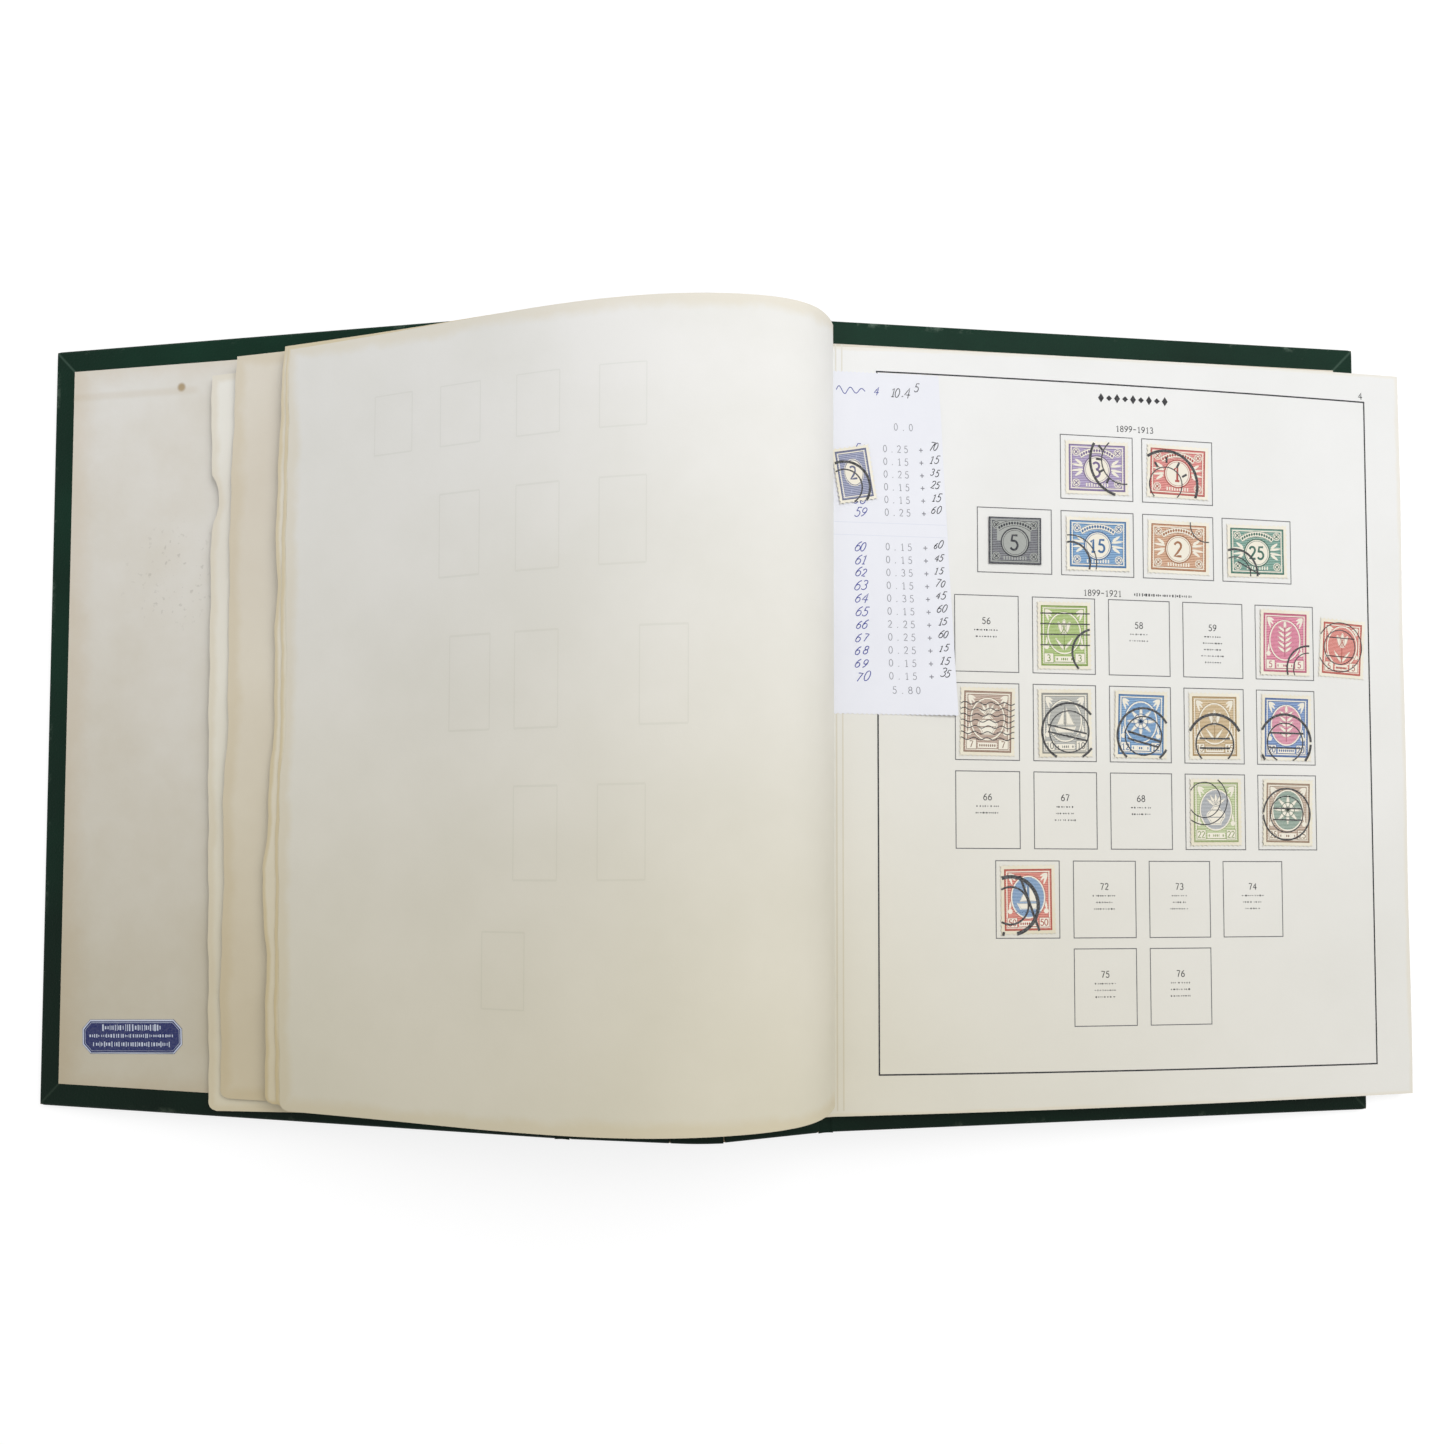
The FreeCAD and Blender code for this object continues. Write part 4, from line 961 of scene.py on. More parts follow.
# each: slot, kind, share of the page height, column, ink, second ink, motif, number, postmark rings, bars, lean
# rings are their middle and then pairs of radius and pen; a bar is its two ends and pen
stampList = [
    ("purple", "wide", 0.349, -0.5, (146, 122, 178), None, "numeral", "3", [(10.4, 3.0), (13.0, 0.95), (8.6, 0.45)],
     [(0.6, 8.4, 2.2, 6.6, 0.8), (-0.4, 3.4, 1.8, 3.2, 0.8), (0.6, -1.6, 2.8, -0.4, 0.8),
      (3.6, -5.4, 4.6, -3.4, 0.8)], 0.6),
    ("red", "wide", 0.349, 0.5, (222, 92, 82), None, "numeral", "1", [(-4.6, -4.8), (12.4, 1.0), (6.4, 0.4)],
     [(-9.0, 3.2, -7.8, 1.4, 0.8), (-4.4, 5.4, -4.4, 3.2, 0.8), (0.6, 3.6, -0.4, 1.6, 0.8),
      (3.6, -0.6, 1.8, -1.6, 0.8)], -0.9),
    ("dark_grey", "small", 0.246, -1.5, (54, 56, 64), None, "plate", "5", [(0, 0)], [], 0.4),
    ("blue", "wide", 0.246, -0.5, (62, 128, 190), None, "numeral", "15", [(-10.5, -7), (7.5, 0.7), (10, 0.4)], [], 0.3),
    ("orange_brown", "wide", 0.246, 0.5, (203, 134, 84), None, "numeral", "2", [(11, 9), (6.5, 0.4)], [], -0.5),
    ("green", "wide", 0.246, 1.5, (62, 128, 106), None, "numeral", "25", [(-9, -8.5), (9.0, 0.8), (6.2, 0.45)],
     [(-8, -4, 1, -8.6, 0.5)], 0.8),
    ("yellow_green", "tall", 0.1215, -1, (152, 186, 74), None, "tulip", "3", [(11.5, -6), (8.5, 0.8)],
     [(-9, y, 10, y, 0.45) for y in (8, 4.2, 0.4, -3.4)], 0.7),
    ("rose", "tall", 0.1215, 2, (224, 92, 130), None, "sprig", "5", [(9.5, -9.5), (8.6, 0.7), (6.0, 0.4)], [], -0.4),
    ("orange_red", "extra", 0.116, 2.82, (226, 100, 82), None, "tulip", "5", [(-1, 0.5), (9.2, 0.35), (6.4, 0.35)],
     [(-6, 4, 5, 4, 0.35), (-6, -3, 5, -3, 0.35)], -3.0),
    ("brown", "tall", 0.005, -2, (178, 142, 116), None, "vase", "7", [(0, 0)], [], -0.6),
    ("grey", "tall", 0.005, -1, (166, 166, 156), None, "ship", "10", [(1.5, -3), (10.2, 0.8), (7.4, 0.45)],
     [(-6.5, -0.5, 8, -3.8, 0.6), (-6.5, -3, 8, -6.3, 0.6)], 1.2),
    ("blue", "tall", 0.005, 0, (70, 132, 192), None, "rosette", "12", [(1, -4), (10, 0.8), (7, 0.5)],
     [(-5, -2.5, 8, -6, 0.8), (-5, -5, 7, -8, 0.7)], -0.7),
    ("ochre", "tall", 0.005, 1, (204, 166, 104), None, "tulip", "15", [(0, -6.5), (10.8, 1.0), (7.4, 0.6)],
     [(-6, -4.5, 6, -4.5, 0.7), (-6, -8, 6, -8, 0.7)], 0.5),
    ("blue_red", "tall", 0.005, 2, (72, 116, 186), (226, 120, 150), "sprig", "20",
     [(-0.5, -5.5), (10.4, 0.9), (7.2, 0.5)], [(-7, -2, 7, -2, 0.7), (-7, -7.5, 6, -7.5, 0.5)], -0.6),
    ("pale_green", "tall", -0.111, 1, (182, 200, 128), (160, 164, 168), "vase", "22",
     [(-4.5, 4.5), (9, 0.4), (6.4, 0.35)], [], 0.5),
    ("brown_green", "tall", -0.111, 2, (184, 152, 122), (120, 148, 126), "rosette", "25",
     [(-0.5, -0.5), (9.4, 0.6), (6.6, 0.4)], [(-6, 1.6, 6, 1.6, 0.5), (-6, -2.6, 6, -2.6, 0.5)], -0.8),
    ("red_blue", "tall", -0.228, -1.5, (216, 88, 64), (92, 136, 186), "ship", "50",
     [(-6.5, -2), (10.2, 1.3), (6.6, 0.7)], [(-3, 8.5, 4, -11, 0.9)], 1.0),
]
wavyMark = {"stamp": 10, "lines": 7, "top": 6.5, "pitch": 2.1, "size": 0.45, "turns": 1.3, "phase": 0.3, "pen": 0.32}


def stampInks(name, colour):  # the ground a little paler than the colour, the line ink a little darker
    pale = tuple(c + stampLook["pale"] * (stampLook["paleGrey"] - c) for c in colour)
    dark = tuple(stampLook["dark"] * c for c in colour)
    return inkFinish(name + "Ground", pale), inkFinish(name + "Line", dark)


def motifShapes(motif):  # pale shapes and dark lines of a plain motif about its middle
    if motif == "tulip":
        parts = ((-0.6, 5.4, 2.6, 90), (-0.8, 5.2, 2.4, 116), (-0.8, 5.2, 2.4, 64), (-6.3, 5.4, 1.5, 128),
                 (-6.3, 5.4, 1.5, 52))
        curls = [arcLine(-2.6, 1.8, 2.4, 2.6, -60, 20, 7), arcLine(2.6, 1.8, 2.4, 2.6, 240, 160, 7)]
        return [petal(0, *part) for part in parts], [straight((0, -0.8), (0, -6.4))] + curls
    if motif == "sprig":
        leaves = [petal(0, -4.6 + 1.9 * k, 3.4, 1.5, a) for k in range(5) for a in (35, 145)]
        return leaves + [petal(0, 4.2, 3.0, 1.8, 90)], [straight((0, -6.4), (0, 4.4))]
    if motif == "vase":
        a = np.linspace(-1, 1, 15)
        w = 2.6 + 1.1 * np.cos(a * math.pi) - 0.6 * a
        rim = np.stack([w, -2.2 + 3.6 * a], -1)
        bands = [straight((-r, y), (r, y)) for r, y in ((2.6, -0.4), (3.2, -3.0))]
        flowers = [petal(0, 1.2, 4.4, 1.7, heading) for heading in (90, 60, 120, 34, 146)]
        return [np.concatenate([rim, rim[::-1] * (-1, 1)])] + flowers, bands
    if motif == "ship":
        hull = [(-3.0, -4.6), (3.0, -4.6), (4.2, -2.4), (-4.2, -2.4)]
        sails = [(0.4, -1.8), (3.6, -1.8), (0.4, 4.6)], [(-0.4, -1.8), (-0.4, 3.8), (-3.2, -1.8)]
        x = np.linspace(-4.6, 4.6, 30)
        water = np.stack([x, -5.6 + 0.3 * np.sin(x * 3)], -1)
        return [np.array(shape) for shape in (hull, *sails)], [water, straight((0, -2.4), (0, 5.2))]
    petals = [petal(0, 0, 5.4, 2.0, heading) for heading in range(0, 360, 45)]
    return petals + [oval(1.3, 1.3, count=14)], [ring(0, 0, 2.7, 2.7, 25)]


def drawMotif(motif, ink):  # shapes in bare paper, lines on them, and the shapes' outlines again drawn in to 0.86
    shapes, lines = ([line + (0, stampLook["motifUp"]) for line in part] for part in motifShapes(motif))
    for shape in shapes:
        addArea(shape, 3, 0.07)
    for line in lines:
        addRibbon(line, 0.28, ink, 0.08)
    for shape in shapes:
        middle = shape.mean(0)
        addRibbon(closed(middle + 0.86 * (shape - middle)), 0.12, ink, 0.078)


def clippedRibbon(line, halfWidth, halfHeight, pen, lift):  # keeps the runs of a postmark that lie on the stamp
    inside = (np.abs(line[:, 0]) < halfWidth) & (np.abs(line[:, 1]) < halfHeight)
    for run in np.split(np.arange(len(line)), np.flatnonzero(np.diff(inside)) + 1):
        if inside[run[0]] and len(run) > 2:
            addRibbon(line[run], pen, 4, lift)


# ink numbers: 0 paper, 1 ground, 2 line, 3 bare paper in the print, 4 postmark, 5 second ground, 6 second line

def drawNumeral(w, h, number, wings):
    # a number in a disc under an arched band of beads, a rosette in each corner, and a row of bars at the foot
    for sx, sy in ((-1, -1), (-1, 1), (1, -1), (1, 1)):
        x, y = sx * (w / 2 - 2.6), sy * (h / 2 - 2.6)
        addArea(oval(1.5, 1.5, x, y, 14), 3, 0.04)
        addRibbon(ring(x, y, 1.1, 1.1, 15), 0.22, 2, 0.05)
        for a in (45, 135, 225, 315):
            addArea(petal(x, y, 0.95, 0.5, a, 8), 2, 0.05)
        if wings:
            for wx, wy, long, wide, lean in ((5.6, 1.2, 3.4, 1.3, 34), (5.2, 0.6, 4.6, 1.1, 8)):
                addArea(petal(sx * wx, sy * wy, long, wide, 90 - sx * (90 - sy * lean), 10), 3, 0.04)
    addArea(oval(5.4, 5.4, 0, -0.6), 3, 0.045)
    for r, pen in ((5.1, 0.5), (4.4, 0.16)):
        addRibbon(ring(0, -0.6, r, r, 41), pen, 2, 0.055)
    for shift, pen, ink, lift in ((0, 2.2, 3, 0.05), (-0.95, 0.16, 2, 0.06), (0.95, 0.16, 2, 0.06)):
        addRibbon(arcLine(0, -4.0, 10.4 + shift, 10.4 + shift, 128, 52, 19), pen, ink, lift)
    for x, y in arcLine(0, -4.0, 10.4, 10.4, 124, 56, 13):
        addArea(oval(0.42, 0.55, x, y, 8), 2, 0.06)
    writeNumber(number, 0.0, -0.6, 5.4 if len(number) == 1 else 4.6, 0.8, 2, 0.065, pitch=1.15)
    for x in range(-4, 5):
        addRibbon(straight((x, -h / 2 + 1.4), (x, -h / 2 + 2.7)), 0.5, 3, 0.04)


def drawPicture(w, h, motif, number, ground, line):
    # a motif on a hatched oval: each level line reaches as far as the oval does; numbers and sprays at the corners
    rings, foot = np.linspace(0, 1, 6), -h / 2
    rx, ry, y, pitch = 5.9, 7.1, 0.9, 0.5
    addArea(oval(6.5, 7.7, 0, y), 3, 0.04, rings)
    addArea(oval(rx, ry, 0, y), ground, 0.05, rings)
    for level in np.arange(pitch - ry, ry, pitch):
        reach = rx * math.sqrt(1 - (level / ry) ** 2)
        addRibbon(straight((-reach, y + level), (reach, y + level), 1.2), 0.2, line, 0.055)
    addRibbon(ring(0, y, 6.5, 7.7, 49), 0.2, 2, 0.06)
    drawMotif(motif, line)
    for sx in (-1, 1):
        x, y = sx * (w / 2 - 2.7), foot + 2.6
        addArea(rectangle(3.6, 3.4, x, y), 3, 0.06)
        addFrame(x, y, 3.6, 3.4, 0.2, 2, 0.065)
        writeNumber(number, x, y, 2.3, 0.34, 2, 0.07, pitch=1.05)
        for k in range(3):
            spray = petal(sx * (w / 2 - 1.4), h / 2 - 1.4, 4.2 - 0.7 * k, 1.1, 270 - sx * (45 + 26 * (k - 1)), 10)
            addArea(spray, 3, 0.045)
        addArea(oval(0.9, 0.9, sx * (w / 2 - 1.9), foot + 6.6, 12), 3, 0.045)
        addArea(petal(sx * (w / 2 - 1.7), foot + 7.4, 3.6, 1.0, 90 + sx * 12, 10), 3, 0.045)
    addArea(rectangle(w - 10.2, 1.9, 0, foot + 2.2), 3, 0.06)
    for x in np.linspace(-(w - 11.6) / 2, (w - 11.6) / 2, 8):
        addArea(oval(0.28, 0.5, x, foot + 2.2, 8), 2, 0.065)


def drawStamp(width, height, motif, number, rings, bars, second, wavy):
    # the sheet, a hatched ground in three frames, the picture, and the postmark clipped to the sheet
    newArt(stampLook["thick"])
    plate = motif == "plate"
    addSlab(rectangle(width, height) if plate else perforated(width, height), 0, (0, 0.3, 0.6, 0.85, 1))
    margin = 2 * stampLook["plateMargin" if plate else "margin"]
    w, h = width - margin, height - margin
    addArea(rectangle(w, h), 1, 0.01, np.linspace(0, 1, 8))
    for level in np.arange(-h / 2 + 0.4, h / 2, stampLook["hatch"]):
        addRibbon(straight((-w / 2, level), (w / 2, level), 2), 0.2, 2, 0.02)
    for inset, pen, ink in ((0, 0.42, 2), (1.5, 0.4, 3), (2.3, 0.14, 2)):
        addFrame(0, 0, w - inset, h - inset, pen, ink, 0.03)
    if plate:  # a dark block with a paler patch towards its head
        addArea(rectangle(12.5, 7.0, -0.45, 3.5), 3, 0.042, np.linspace(0, 1, 6))
    if motif in ("numeral", "plate"):
        drawNumeral(w, h, number, not plate)
    else:
        drawPicture(w, h, motif, number, *((5, 6) if second else (1, 2)))
    (x, y), *circles = rings
    marks = [(ring(x, y, r, r, 141), pen) for r, pen in circles]
    marks += [(straight((x0, y0), (x1, y1), 0.4), pen) for x0, y0, x1, y1, pen in bars]
    if wavy:
        x = np.linspace(-width / 2, width / 2, 90)
        for k in range(wavyMark["lines"]):
            wave = wavyMark["size"] * np.sin(x * wavyMark["turns"] + wavyMark["phase"] * k)
            marks.append((np.stack([x, wavyMark["top"] - wavyMark["pitch"] * k + wave], -1), wavyMark["pen"]))
    for line, pen in marks:
        clippedRibbon(line, width / 2 - stampLook["markMargin"], height / 2 - stampLook["markMargin"], pen, 0.09)


def stampPut(along, across, width, height, lean, curl, lift):
    # turned by lean about the stamp's middle, its edges raised as the square of their distance
    c, s = unit(lean)
    upright = unit(-album["pageTurn"])[1]

    def put(x, y, z):
        raised = curl * ((2 * x / width) ** 2 + 0.5 * (2 * y / height) ** 2)
        return onPage(along + c * x - s * y + upright * y, across + s * x + c * y, lift + z + raised)
    return put


for order, (slot, kind, share, column, ink, second, motif, number, rings, bars, lean) in enumerate(stampList):
    width, height = stampLook[kind]
    drawStamp(width, height, motif, number, rings, bars, second, order + 1 == wavyMark["stamp"])
    node = "stamp_%02d" % (order + 1)
    name = node.replace("_", "")
    ground, dark = stampInks(name, ink)
    more = stampInks(name + "Second", second) if second else (ground, dark)
    base, pale = (ground, inks["palePatch"]) if motif == "plate" else (paper["stamp"], inks["unprintedPaper"])
    pitch = pagePrint["widePitch" if kind in ("wide", "small") else "tallPitch"]
    curl = stampLook["curl"][0] + stampLook["curl"][1] * (order % 4)
    along, across = album["pageMiddle"] + column * pitch, share * album["leafHeight"]
    put = stampPut(along, across, width, height, lean, curl, stampLook["lift"])
    materials = [base, ground, dark, pale, inks["cancelInk"], *more]
    finishArt(name, put, materials, node, "page_leaf")
print("stage: stamps placed")


# paper slip with its columns of numbers, and the loose stamp that lies on it

slipLook = {"width": 43.0, "length": 121.0, "start": 2.0, "headGap": 10.5, "lift": 0.03, "thick": 0.09, "seed": 21,
            "rows": [26.8 + 4.55 * k for k in range(6)] + [61.8 + 4.58 * k for k in range(11)], "teeth": 26,
            "tooth": 0.45, "steps": 61, "swing": 0.145, "swingFrom": 0.72, "corner": 0.9, "cornerFrom": (0.5, 0.55),
            "wave": 0.25, "waveTurns": 11, "inkUp": 0.03, "folds": (53.5, 58.0), "foldUp": 0.015,
            "firstNumber": 54, "oddRow": 12, "prices": [25, 15, 45, 35, 60, 70]}


def slipPut(x, y, z):
    # the foot swings out to the right, the free corner rises by two smooth steps, and slow waves run down the slip
    down, over = -y / slipLook["length"], x / slipLook["width"]
    along = slipLook["start"] + x * (1 + slipLook["swing"] * (down - slipLook["swingFrom"]))
    right, foot = (smooth((share - low) / (1 - low)) for share, low in zip((over, down), slipLook["cornerFrom"]))
    wave = slipLook["wave"] * np.sin(down * slipLook["waveTurns"]) ** 2 * smooth(over)
    lift = slipLook["lift"] + z + slipLook["corner"] * right * foot + wave
    return onPage(along, album["leafHeight"] / 2 - slipLook["headGap"] + y, lift)


def makeSlip():
    # a grid with saw teeth along its two short ends, then typed and written numbers row by row
    dice, w, up = np.random.default_rng(slipLook["seed"]), slipLook["width"], slipLook["inkUp"]
    x = np.linspace(0, w, slipLook["teeth"] * 2 + 1)
    ends = np.zeros((slipLook["steps"], 1))
    ends[0], ends[-1] = 1, -1
    saw = slipLook["tooth"] * ends * (np.arange(len(x)) % 2)
    gy = np.linspace(0, -slipLook["length"], slipLook["steps"])[:, None] + saw
    gx = np.broadcast_to(x, gy.shape)
    sheet = closedSheet(slipPut(gx, gy, slipLook["thick"]), slipPut(gx, gy, 0.0))
    settle(makePiece("priceSlip", *sheet, [paper["slip"]]), "price_slip", "price_slip")
    newArt(slipLook["thick"])
    writeNumber("4", 17.5, -6.3, 3.6, 0.32, 1, up, 0.35, dice=dice)
    writeNumber("10.4", 26.6, -6.4, 3.4, 0.3, 2, up, 0.3, 0.95, dice)
    writeNumber("5", 33.4, -4.9, 2.8, 0.3, 2, up, 0.3, dice=dice)
    x, turn, size = np.linspace((1.5, 0, 1.5), (13, 16, 0.7), 40).T
    addRibbon(np.stack([x, -6.4 + np.sin(turn) * size], -1), 0.3, 1, up)
    writeNumber("0.0", 28.5, -18.9, 2.5, 0.24, 0, up, pitch=1.9)
    for k, row in enumerate(slipLook["rows"]):
        typed = "%d.%d%d" % (dice.integers(0, 3) if k == slipLook["oddRow"] else 0, dice.integers(1, 4), 5)
        writeNumber(typed, 25.0, -row, 2.5, 0.24, 0, up, pitch=1.75)
        writeNumber("+", 34.6, -row, 3.4, 0.34, 0, up)
        writeNumber("%d" % (slipLook["firstNumber"] + k), 10.0, -row - 0.3, 3.2, 0.32, 1, up, 0.4, 1.15, dice)
        writeNumber("%d" % dice.choice(slipLook["prices"]), 39.0, -row + 1.3, 2.7, 0.3, 2, up, 0.45, 1.1, dice)
    writeNumber("5.80", 26.0, -112.6, 2.5, 0.24, 0, up, pitch=1.75)
    # the two folds as darker lines: painted shade in their creases
    for fold in slipLook["folds"]:
        addRibbon(straight((0.5, -fold), (w - 0.5, -fold)), 0.22, 3, slipLook["foldUp"])
    materials = [inks[key] for key in ("greyTypeInk", "bluePen", "blackPen", "foldShadeInk")]
    finishArt("slipNumbers", slipPut, materials, None, "price_slip")


makeSlip()
looseLook = {"width": 14.0, "height": 20.0, "start": 2.6, "headGap": 37.0, "turn": 10.0, "lift": 0.42, "curl": 0.25,
             "ink": (112, 120, 162), "pitch": 1.7, "depth": 0.45, "margin": 3, "markMargin": 0.3}


def makeLoose():
    # drawn like the other stamps: sheet, hatched ground, two frames, a number in an oval, two postmark rings
    w, h, margin, clear = (looseLook[key] for key in ("width", "height", "margin", "markMargin"))
    newArt(stampLook["thick"])
    addSlab(perforated(w, h, looseLook["pitch"], looseLook["depth"]), 0, (0, 0.4, 0.8, 1))
    addArea(rectangle(w - margin, h - margin), 1, 0.01, (0, 0.5, 1))
    for level in np.arange(-h / 2 + 2, h / 2 - 1.6, stampLook["hatch"]):
        addRibbon(straight((-w / 2 + 1.6, level), (w / 2 - 1.6, level)), 0.22, 2, 0.02)
    addFrame(0, 0, w - margin, h - margin, 0.4, 2, 0.03)
    addFrame(0, 0, w - 4.4, h - 4.4, 0.35, 3, 0.03)
    addArea(oval(3.5, 4.9, 0, 0.6), 3, 0.035)
    addRibbon(ring(0, 0.6, 3.2, 4.5, 31), 0.25, 2, 0.04)
    writeNumber("2", 0, 0.6, 4.6, 0.7, 2, 0.045)
    for r, pen in ((9.0, 0.9), (6.2, 0.5)):
        clippedRibbon(ring(-4, -4, r, r, 121), w / 2 - clear, h / 2 - clear, pen, 0.06)
    put = stampPut(looseLook["start"] + w / 2, album["leafHeight"] / 2 - looseLook["headGap"] - h / 2, w, h,
                   looseLook["turn"], looseLook["curl"], looseLook["lift"])
    materials = [paper["stamp"], *stampInks("looseStamp", looseLook["ink"]), inks["unprintedPaper"], inks["cancelInk"]]
    finishArt("looseStamp", put, materials, "loose_stamp", "loose_stamp")


makeLoose()
print("stage: slip and loose stamp done")


# label pasted on the front endpaper: dark blue with a silver border, its lines of type left as plain bars

labelLook = {"length": 42.0, "height": 12.6, "corner": 3.4, "cornerInset": 0.59, "edgeGap": 10.0, "footGap": 12.6,
             "margin": 8.6, "turn": 2.5, "thick": 0.12, "paperUp": 0.2, "inkUp": 0.015, "seed": 5,
             "borders": ((0.35, 0.55), (1.15, 0.16)), "bars": ((3.3, 25.0, 3.3), (0.3, 36.0, 1.95), (-2.8, 33.0, 2.7))}


def octagon(inset):  # a box with its corners cut off, drawn in all round by the inset
    a, b = labelLook["length"] / 2 - inset, labelLook["height"] / 2 - inset
    c = labelLook["corner"] - labelLook["cornerInset"] * inset
    half = np.array([(c - a, -b), (a - c, -b), (a, c - b), (a, b - c)])
    return np.concatenate([half, -half])


def labelPut(x, y, z):  # turned a little, then measured in from the outer end and the foot of the front board
    c, s = unit(labelLook["turn"])
    edge, foot = (labelLook["margin"] + labelLook[key] for key in ("edgeGap", "footGap"))
    out = album["boardLength"] - edge - labelLook["length"] / 2 - (c * x - s * y)
    across = -album["coverHeight"] / 2 + foot + labelLook["height"] / 2 + s * x + c * y
    up = (labelLook["paperUp"] + z)[:, None]
    section = front["board"] + out[:, None] * front["boardAlong"] + up * front["boardNormal"]
    return toScene(section[:, 0], across, section[:, 1])


def makeLabel():  # the octagon, two border lines inside it and three lines of bars
    dice = np.random.default_rng(labelLook["seed"])
    newArt(labelLook["thick"])
    addSlab(octagon(0), 0, (0, 0.5, 1))
    for inset, pen in labelLook["borders"]:
        line = octagon(inset)
        addRibbon(np.concatenate([line, line[:2]]), pen, 1, labelLook["inkUp"])
    for y, width, tall in labelLook["bars"]:
        smallPrint(0.0, y, width, 1, dice, tall, labelLook["inkUp"])
    finishArt("shopLabel", labelPut, [inks["labelBlue"], inks["silverInk"]], "shop_label", "front_board")


makeLabel()


# boxes printed on the back of the top left leaf, showing faintly through it

ghost = {"boxes": [(0.42, 0.80), (0.55, 0.80), (0.68, 0.80), (0.80, 0.80), (0.42, 0.665), (0.55, 0.665), (0.68, 0.665),
                   (0.36, 0.53), (0.55, 0.53), (0.66, 0.53), (0.42, 0.40), (0.55, 0.40), (0.60, 0.27)],
         "size": (20.0, 22.0), "sheet": (290, 270), "pen": 0.5, "lift": 0.03}


def onHump(x, y, z):  # share of the leaf's run and of its height, to the upper side of the leaf
    top, under, uv = leafSurface["leafThree"]
    rows, columns = top.shape[:2]
    i = np.interp(x, uv[:, columns // 2, 0], np.arange(rows))
    j = np.clip(y, 0, 1) * (columns - 1)
    i0, j0 = np.clip(i.astype(int), 0, rows - 2), np.clip(j.astype(int), 0, columns - 2)
    a, b = (i - i0)[:, None], (j - j0)[:, None]

    def at(grid):  # between the four points round the place, by its shares of the way
        return ((1 - a) * ((1 - b) * grid[i0, j0] + b * grid[i0, j0 + 1])
                + a * ((1 - b) * grid[i0 + 1, j0] + b * grid[i0 + 1, j0 + 1]))
    upper = at(under)
    outward = upper - at(top)
    return upper + z[:, None] * 0.001 * outward / np.linalg.norm(outward, axis=1)[:, None]


def makeGhost():  # four ribbons round each box, in shares of the sheet
    newArt()
    wide, high = ghost["sheet"]
    w, h = ghost["size"][0] / wide, ghost["size"][1] / high
    for x, y in ghost["boxes"]:
        for sign in (-1, 1):
            level = np.linspace((x - w / 2, y + sign * h / 2), (x + w / 2, y + sign * h / 2), 8)
            upright = np.linspace((x + sign * w / 2, y - h / 2), (x + sign * w / 2, y + h / 2), 6)
            addRibbon(level, ghost["pen"] / high, 0, ghost["lift"])
            addRibbon(upright, ghost["pen"] / wide, 0, ghost["lift"])
    squashLeaf(finishArt("showThrough", onHump, [paper["ghost"]], None, "left_leaves"))


makeGhost()
print("stage: label and show-through done")


# caps: leatherette turned over the two ends of the spine's mouth

capLook = {"reach": 9.0, "inner": 138.4, "outer": 144.0, "top": 50.6, "crown": 0.8, "drop": 6.0, "round": 1.2,
           "thick": 0.6}


def makeCaps():
    # level across the mouth; outwards a flat run, a quarter round and a short drop
    r, flat = capLook["round"], capLook["outer"] - capLook["inner"]
    c, s = unit(np.linspace(0, 90, 7)).T
    t = np.linspace(-1, 1, 15)[:, None]
    caps = []
    for sign in (-1, 1):
        shells = []
        for skin in (0.0, capLook["thick"]):
            y = np.concatenate([np.linspace(0, flat - r, 4)[:-1], flat - r + (r - skin) * s, [flat - skin] * 3])
            z = np.concatenate([[-skin] * 3, -r + (r - skin) * c, np.linspace(-r, -capLook["drop"], 4)[1:]])
            level = capLook["top"] - capLook["crown"] * t ** 2 + z
            shells.append(toScene(capLook["reach"] * t, sign * (capLook["inner"] + y), level))
        caps.append(closedSheet(*shells))
    settle(makePiece("endCaps", *together(caps), [leather]), body="spine")


makeCaps()


# light, floor and camera

studio = {"sky": 0.46, "floorGlow": 0.74, "floorTone": 0.34, "bounce": 0.75, "fade": (0.7, 1.8), "floorHalf": 20,
          "floorDrop": -0.0003, "aim": (0, 0, 0.03),
          "lamps": {"keyLight": ((0.56, 0.50, 1.25), 0.9, 12.8), "fillLight": ((-0.6, 0.3, 1.1), 0.9, 0.9)}}


def seenPart():  # 1 where the camera, a reflection or a see-through ray looks, else 0
    path = addNode("ShaderNodeLightPath").outputs
    first = math2("MAXIMUM", path["Is Camera Ray"], path["Is Glossy Ray"])
    return math2("MAXIMUM", first, path["Is Transmission Ray"])


def diffuse(tone):  # matt grey
    return addNode("ShaderNodeBsdfDiffuse", {"Color": (tone, tone, tone, 1)}).outputs[0]


def mixShader(factor, first, second):  # first goes over into second by the factor
    return addNode("ShaderNodeMixShader", {0: factor, 1: first, 2: second}).outputs[0]


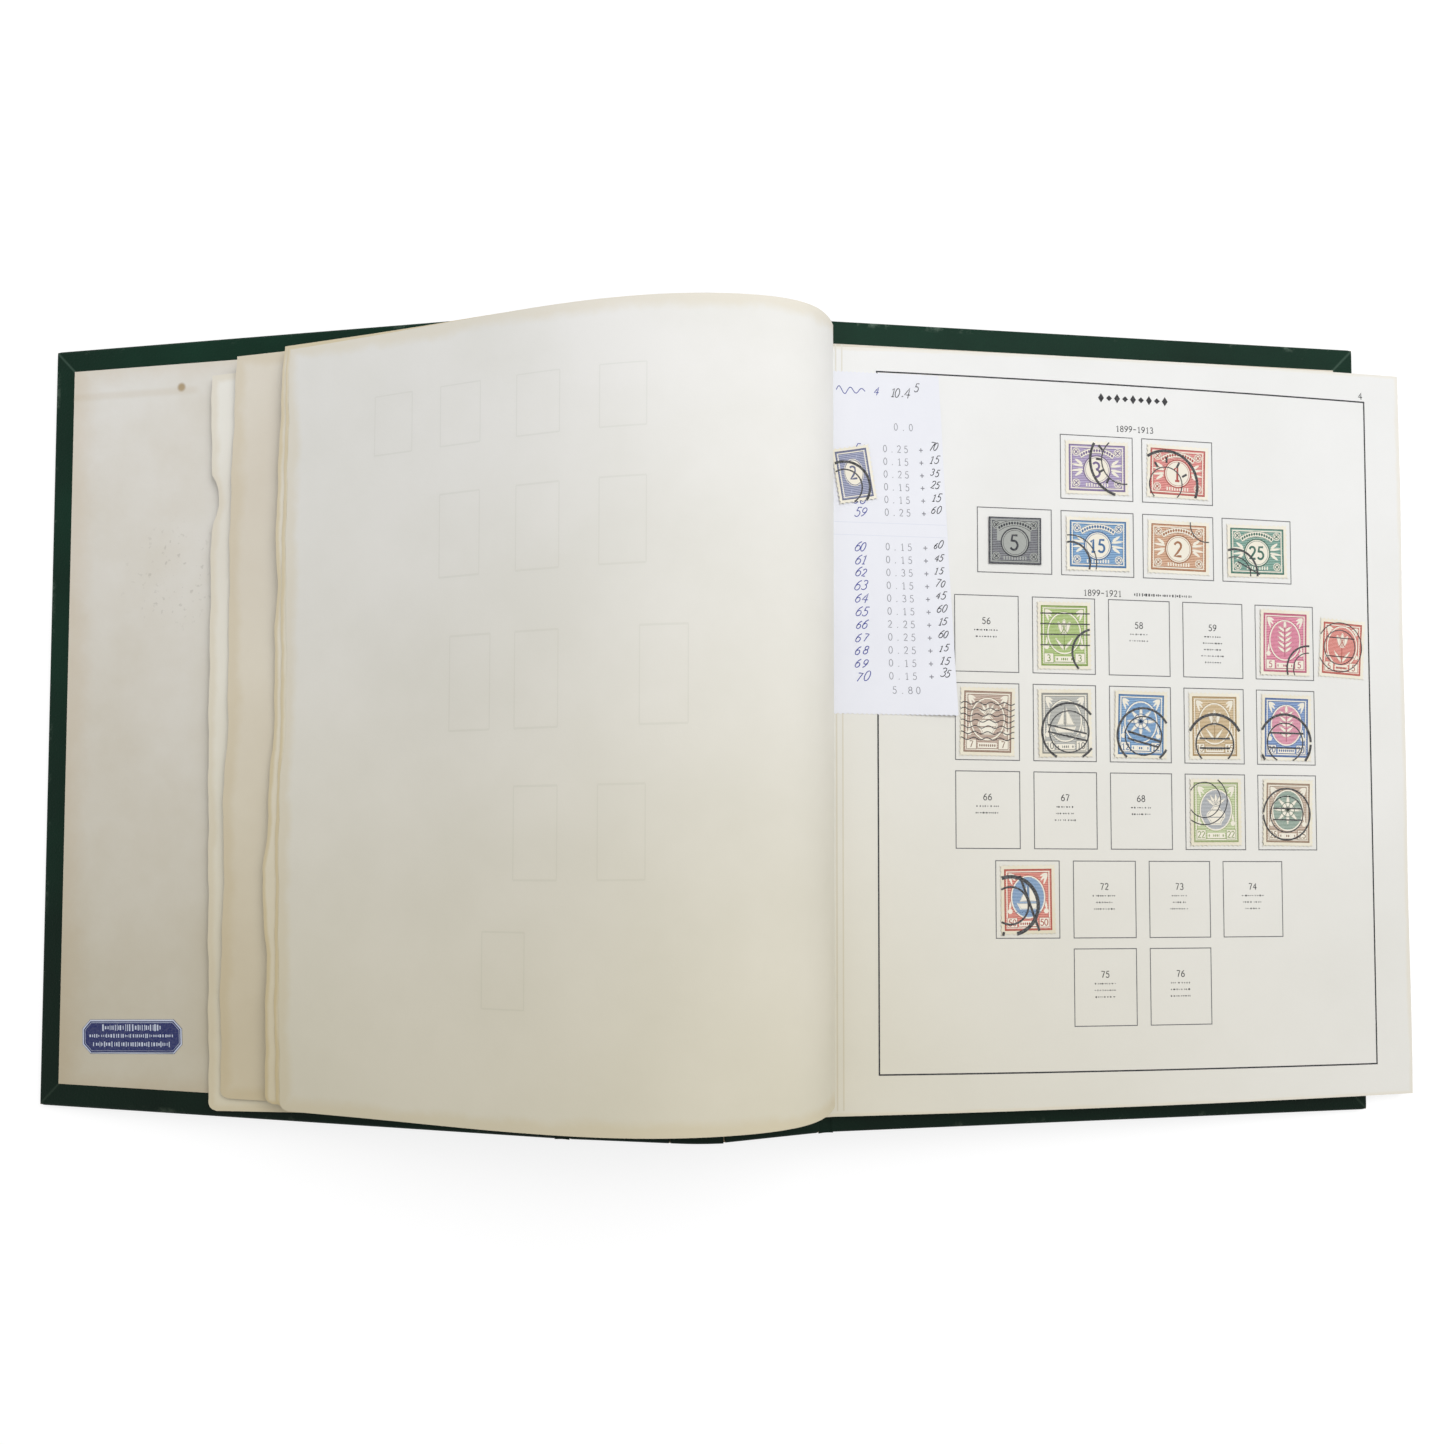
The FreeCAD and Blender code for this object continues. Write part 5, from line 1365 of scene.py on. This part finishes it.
def makeFloor():
    # seen, it glows, takes shadows and goes over into plain white far off; unseen, it only bounces light
    mesh, half = bpy.data.meshes.new("floor"), studio["floorHalf"]
    mesh.from_pydata([(-half, -half, 0), (half, -half, 0), (half, half, 0), (-half, half, 0)], [], [(0, 1, 2, 3)])
    floor = bpy.data.objects.new("floor", mesh)
    floor.location.z = studio["floorDrop"]
    bpy.context.scene.collection.objects.link(floor)
    material = bpy.data.materials.new("paleFloor")
    material.use_nodes = True
    tree = making["tree"] = material.node_tree
    tree.nodes.remove(tree.nodes["Principled BSDF"])
    glow = addNode("ShaderNodeEmission", {"Strength": studio["floorGlow"]}).outputs[0]
    near = addNode("ShaderNodeAddShader", {0: glow, 1: diffuse(studio["floorTone"])}).outputs[0]
    away = addNode("ShaderNodeVectorMath", {0: ownPlace()}, operation="LENGTH").outputs["Value"]
    seen = mixShader(fade(away, *studio["fade"], 0.0, 1.0), near, addNode("ShaderNodeEmission").outputs[0])
    surface = mixShader(seenPart(), diffuse(studio["bounce"]), seen)
    feed(tree.nodes["Material Output"].inputs["Surface"], surface)
    mesh.materials.append(material)


def makeLight():  # a white sky, dimmer as a light than as it is seen, and two lamps that face the album
    world = bpy.data.worlds.new("studio")
    bpy.context.scene.world = world
    world.use_nodes = True
    making["tree"] = world.node_tree
    sky = world.node_tree.nodes["Background"].inputs
    feed(sky["Color"], (1, 1, 1, 1))
    feed(sky["Strength"], fade(seenPart(), 0.0, 1.0, studio["sky"], 1.0, "LINEAR"))
    for name, (place, size, power) in studio["lamps"].items():
        lamp = bpy.data.lights.new(name, "AREA")
        lamp.energy, lamp.size = power, size
        holder = bpy.data.objects.new(name, lamp)
        away = Vector(place) - Vector(studio["aim"])
        holder.matrix_world = Matrix.Translation(place) @ away.to_track_quat("Z", "Y").to_matrix().to_4x4()
        bpy.context.scene.collection.objects.link(holder)


view = {"place": (12.0, -19.0, 478.0), "turns": ((-0.07, "Z"), (-2.38, "X"), (-0.47, "Y")), "focus": 1250.0,
        "picture": 1445.0, "sensor": 36.0, "clip": (0.01, 20)}


def makeCamera():
    # the lens is the sensor's width times focus over picture width; three small turns from looking straight down
    data = bpy.data.cameras.new("camera")
    data.sensor_width = view["sensor"]
    data.lens = view["sensor"] * view["focus"] / view["picture"]
    data.clip_start, data.clip_end = view["clip"]
    camera = bpy.data.objects.new("camera", data)
    roll, pitch, yaw = (Matrix.Rotation(math.radians(angle), 4, axis) for angle, axis in view["turns"])
    turn = roll @ pitch @ yaw
    camera.matrix_world = Matrix.Translation(toScene(*view["place"])) @ turn.transposed()
    bpy.context.scene.collection.objects.link(camera)
    bpy.context.scene.camera = camera


makeFloor()
makeLight()
makeCamera()
bpy.context.scene.view_settings.view_transform = "Standard"
print("stage: light and camera set")
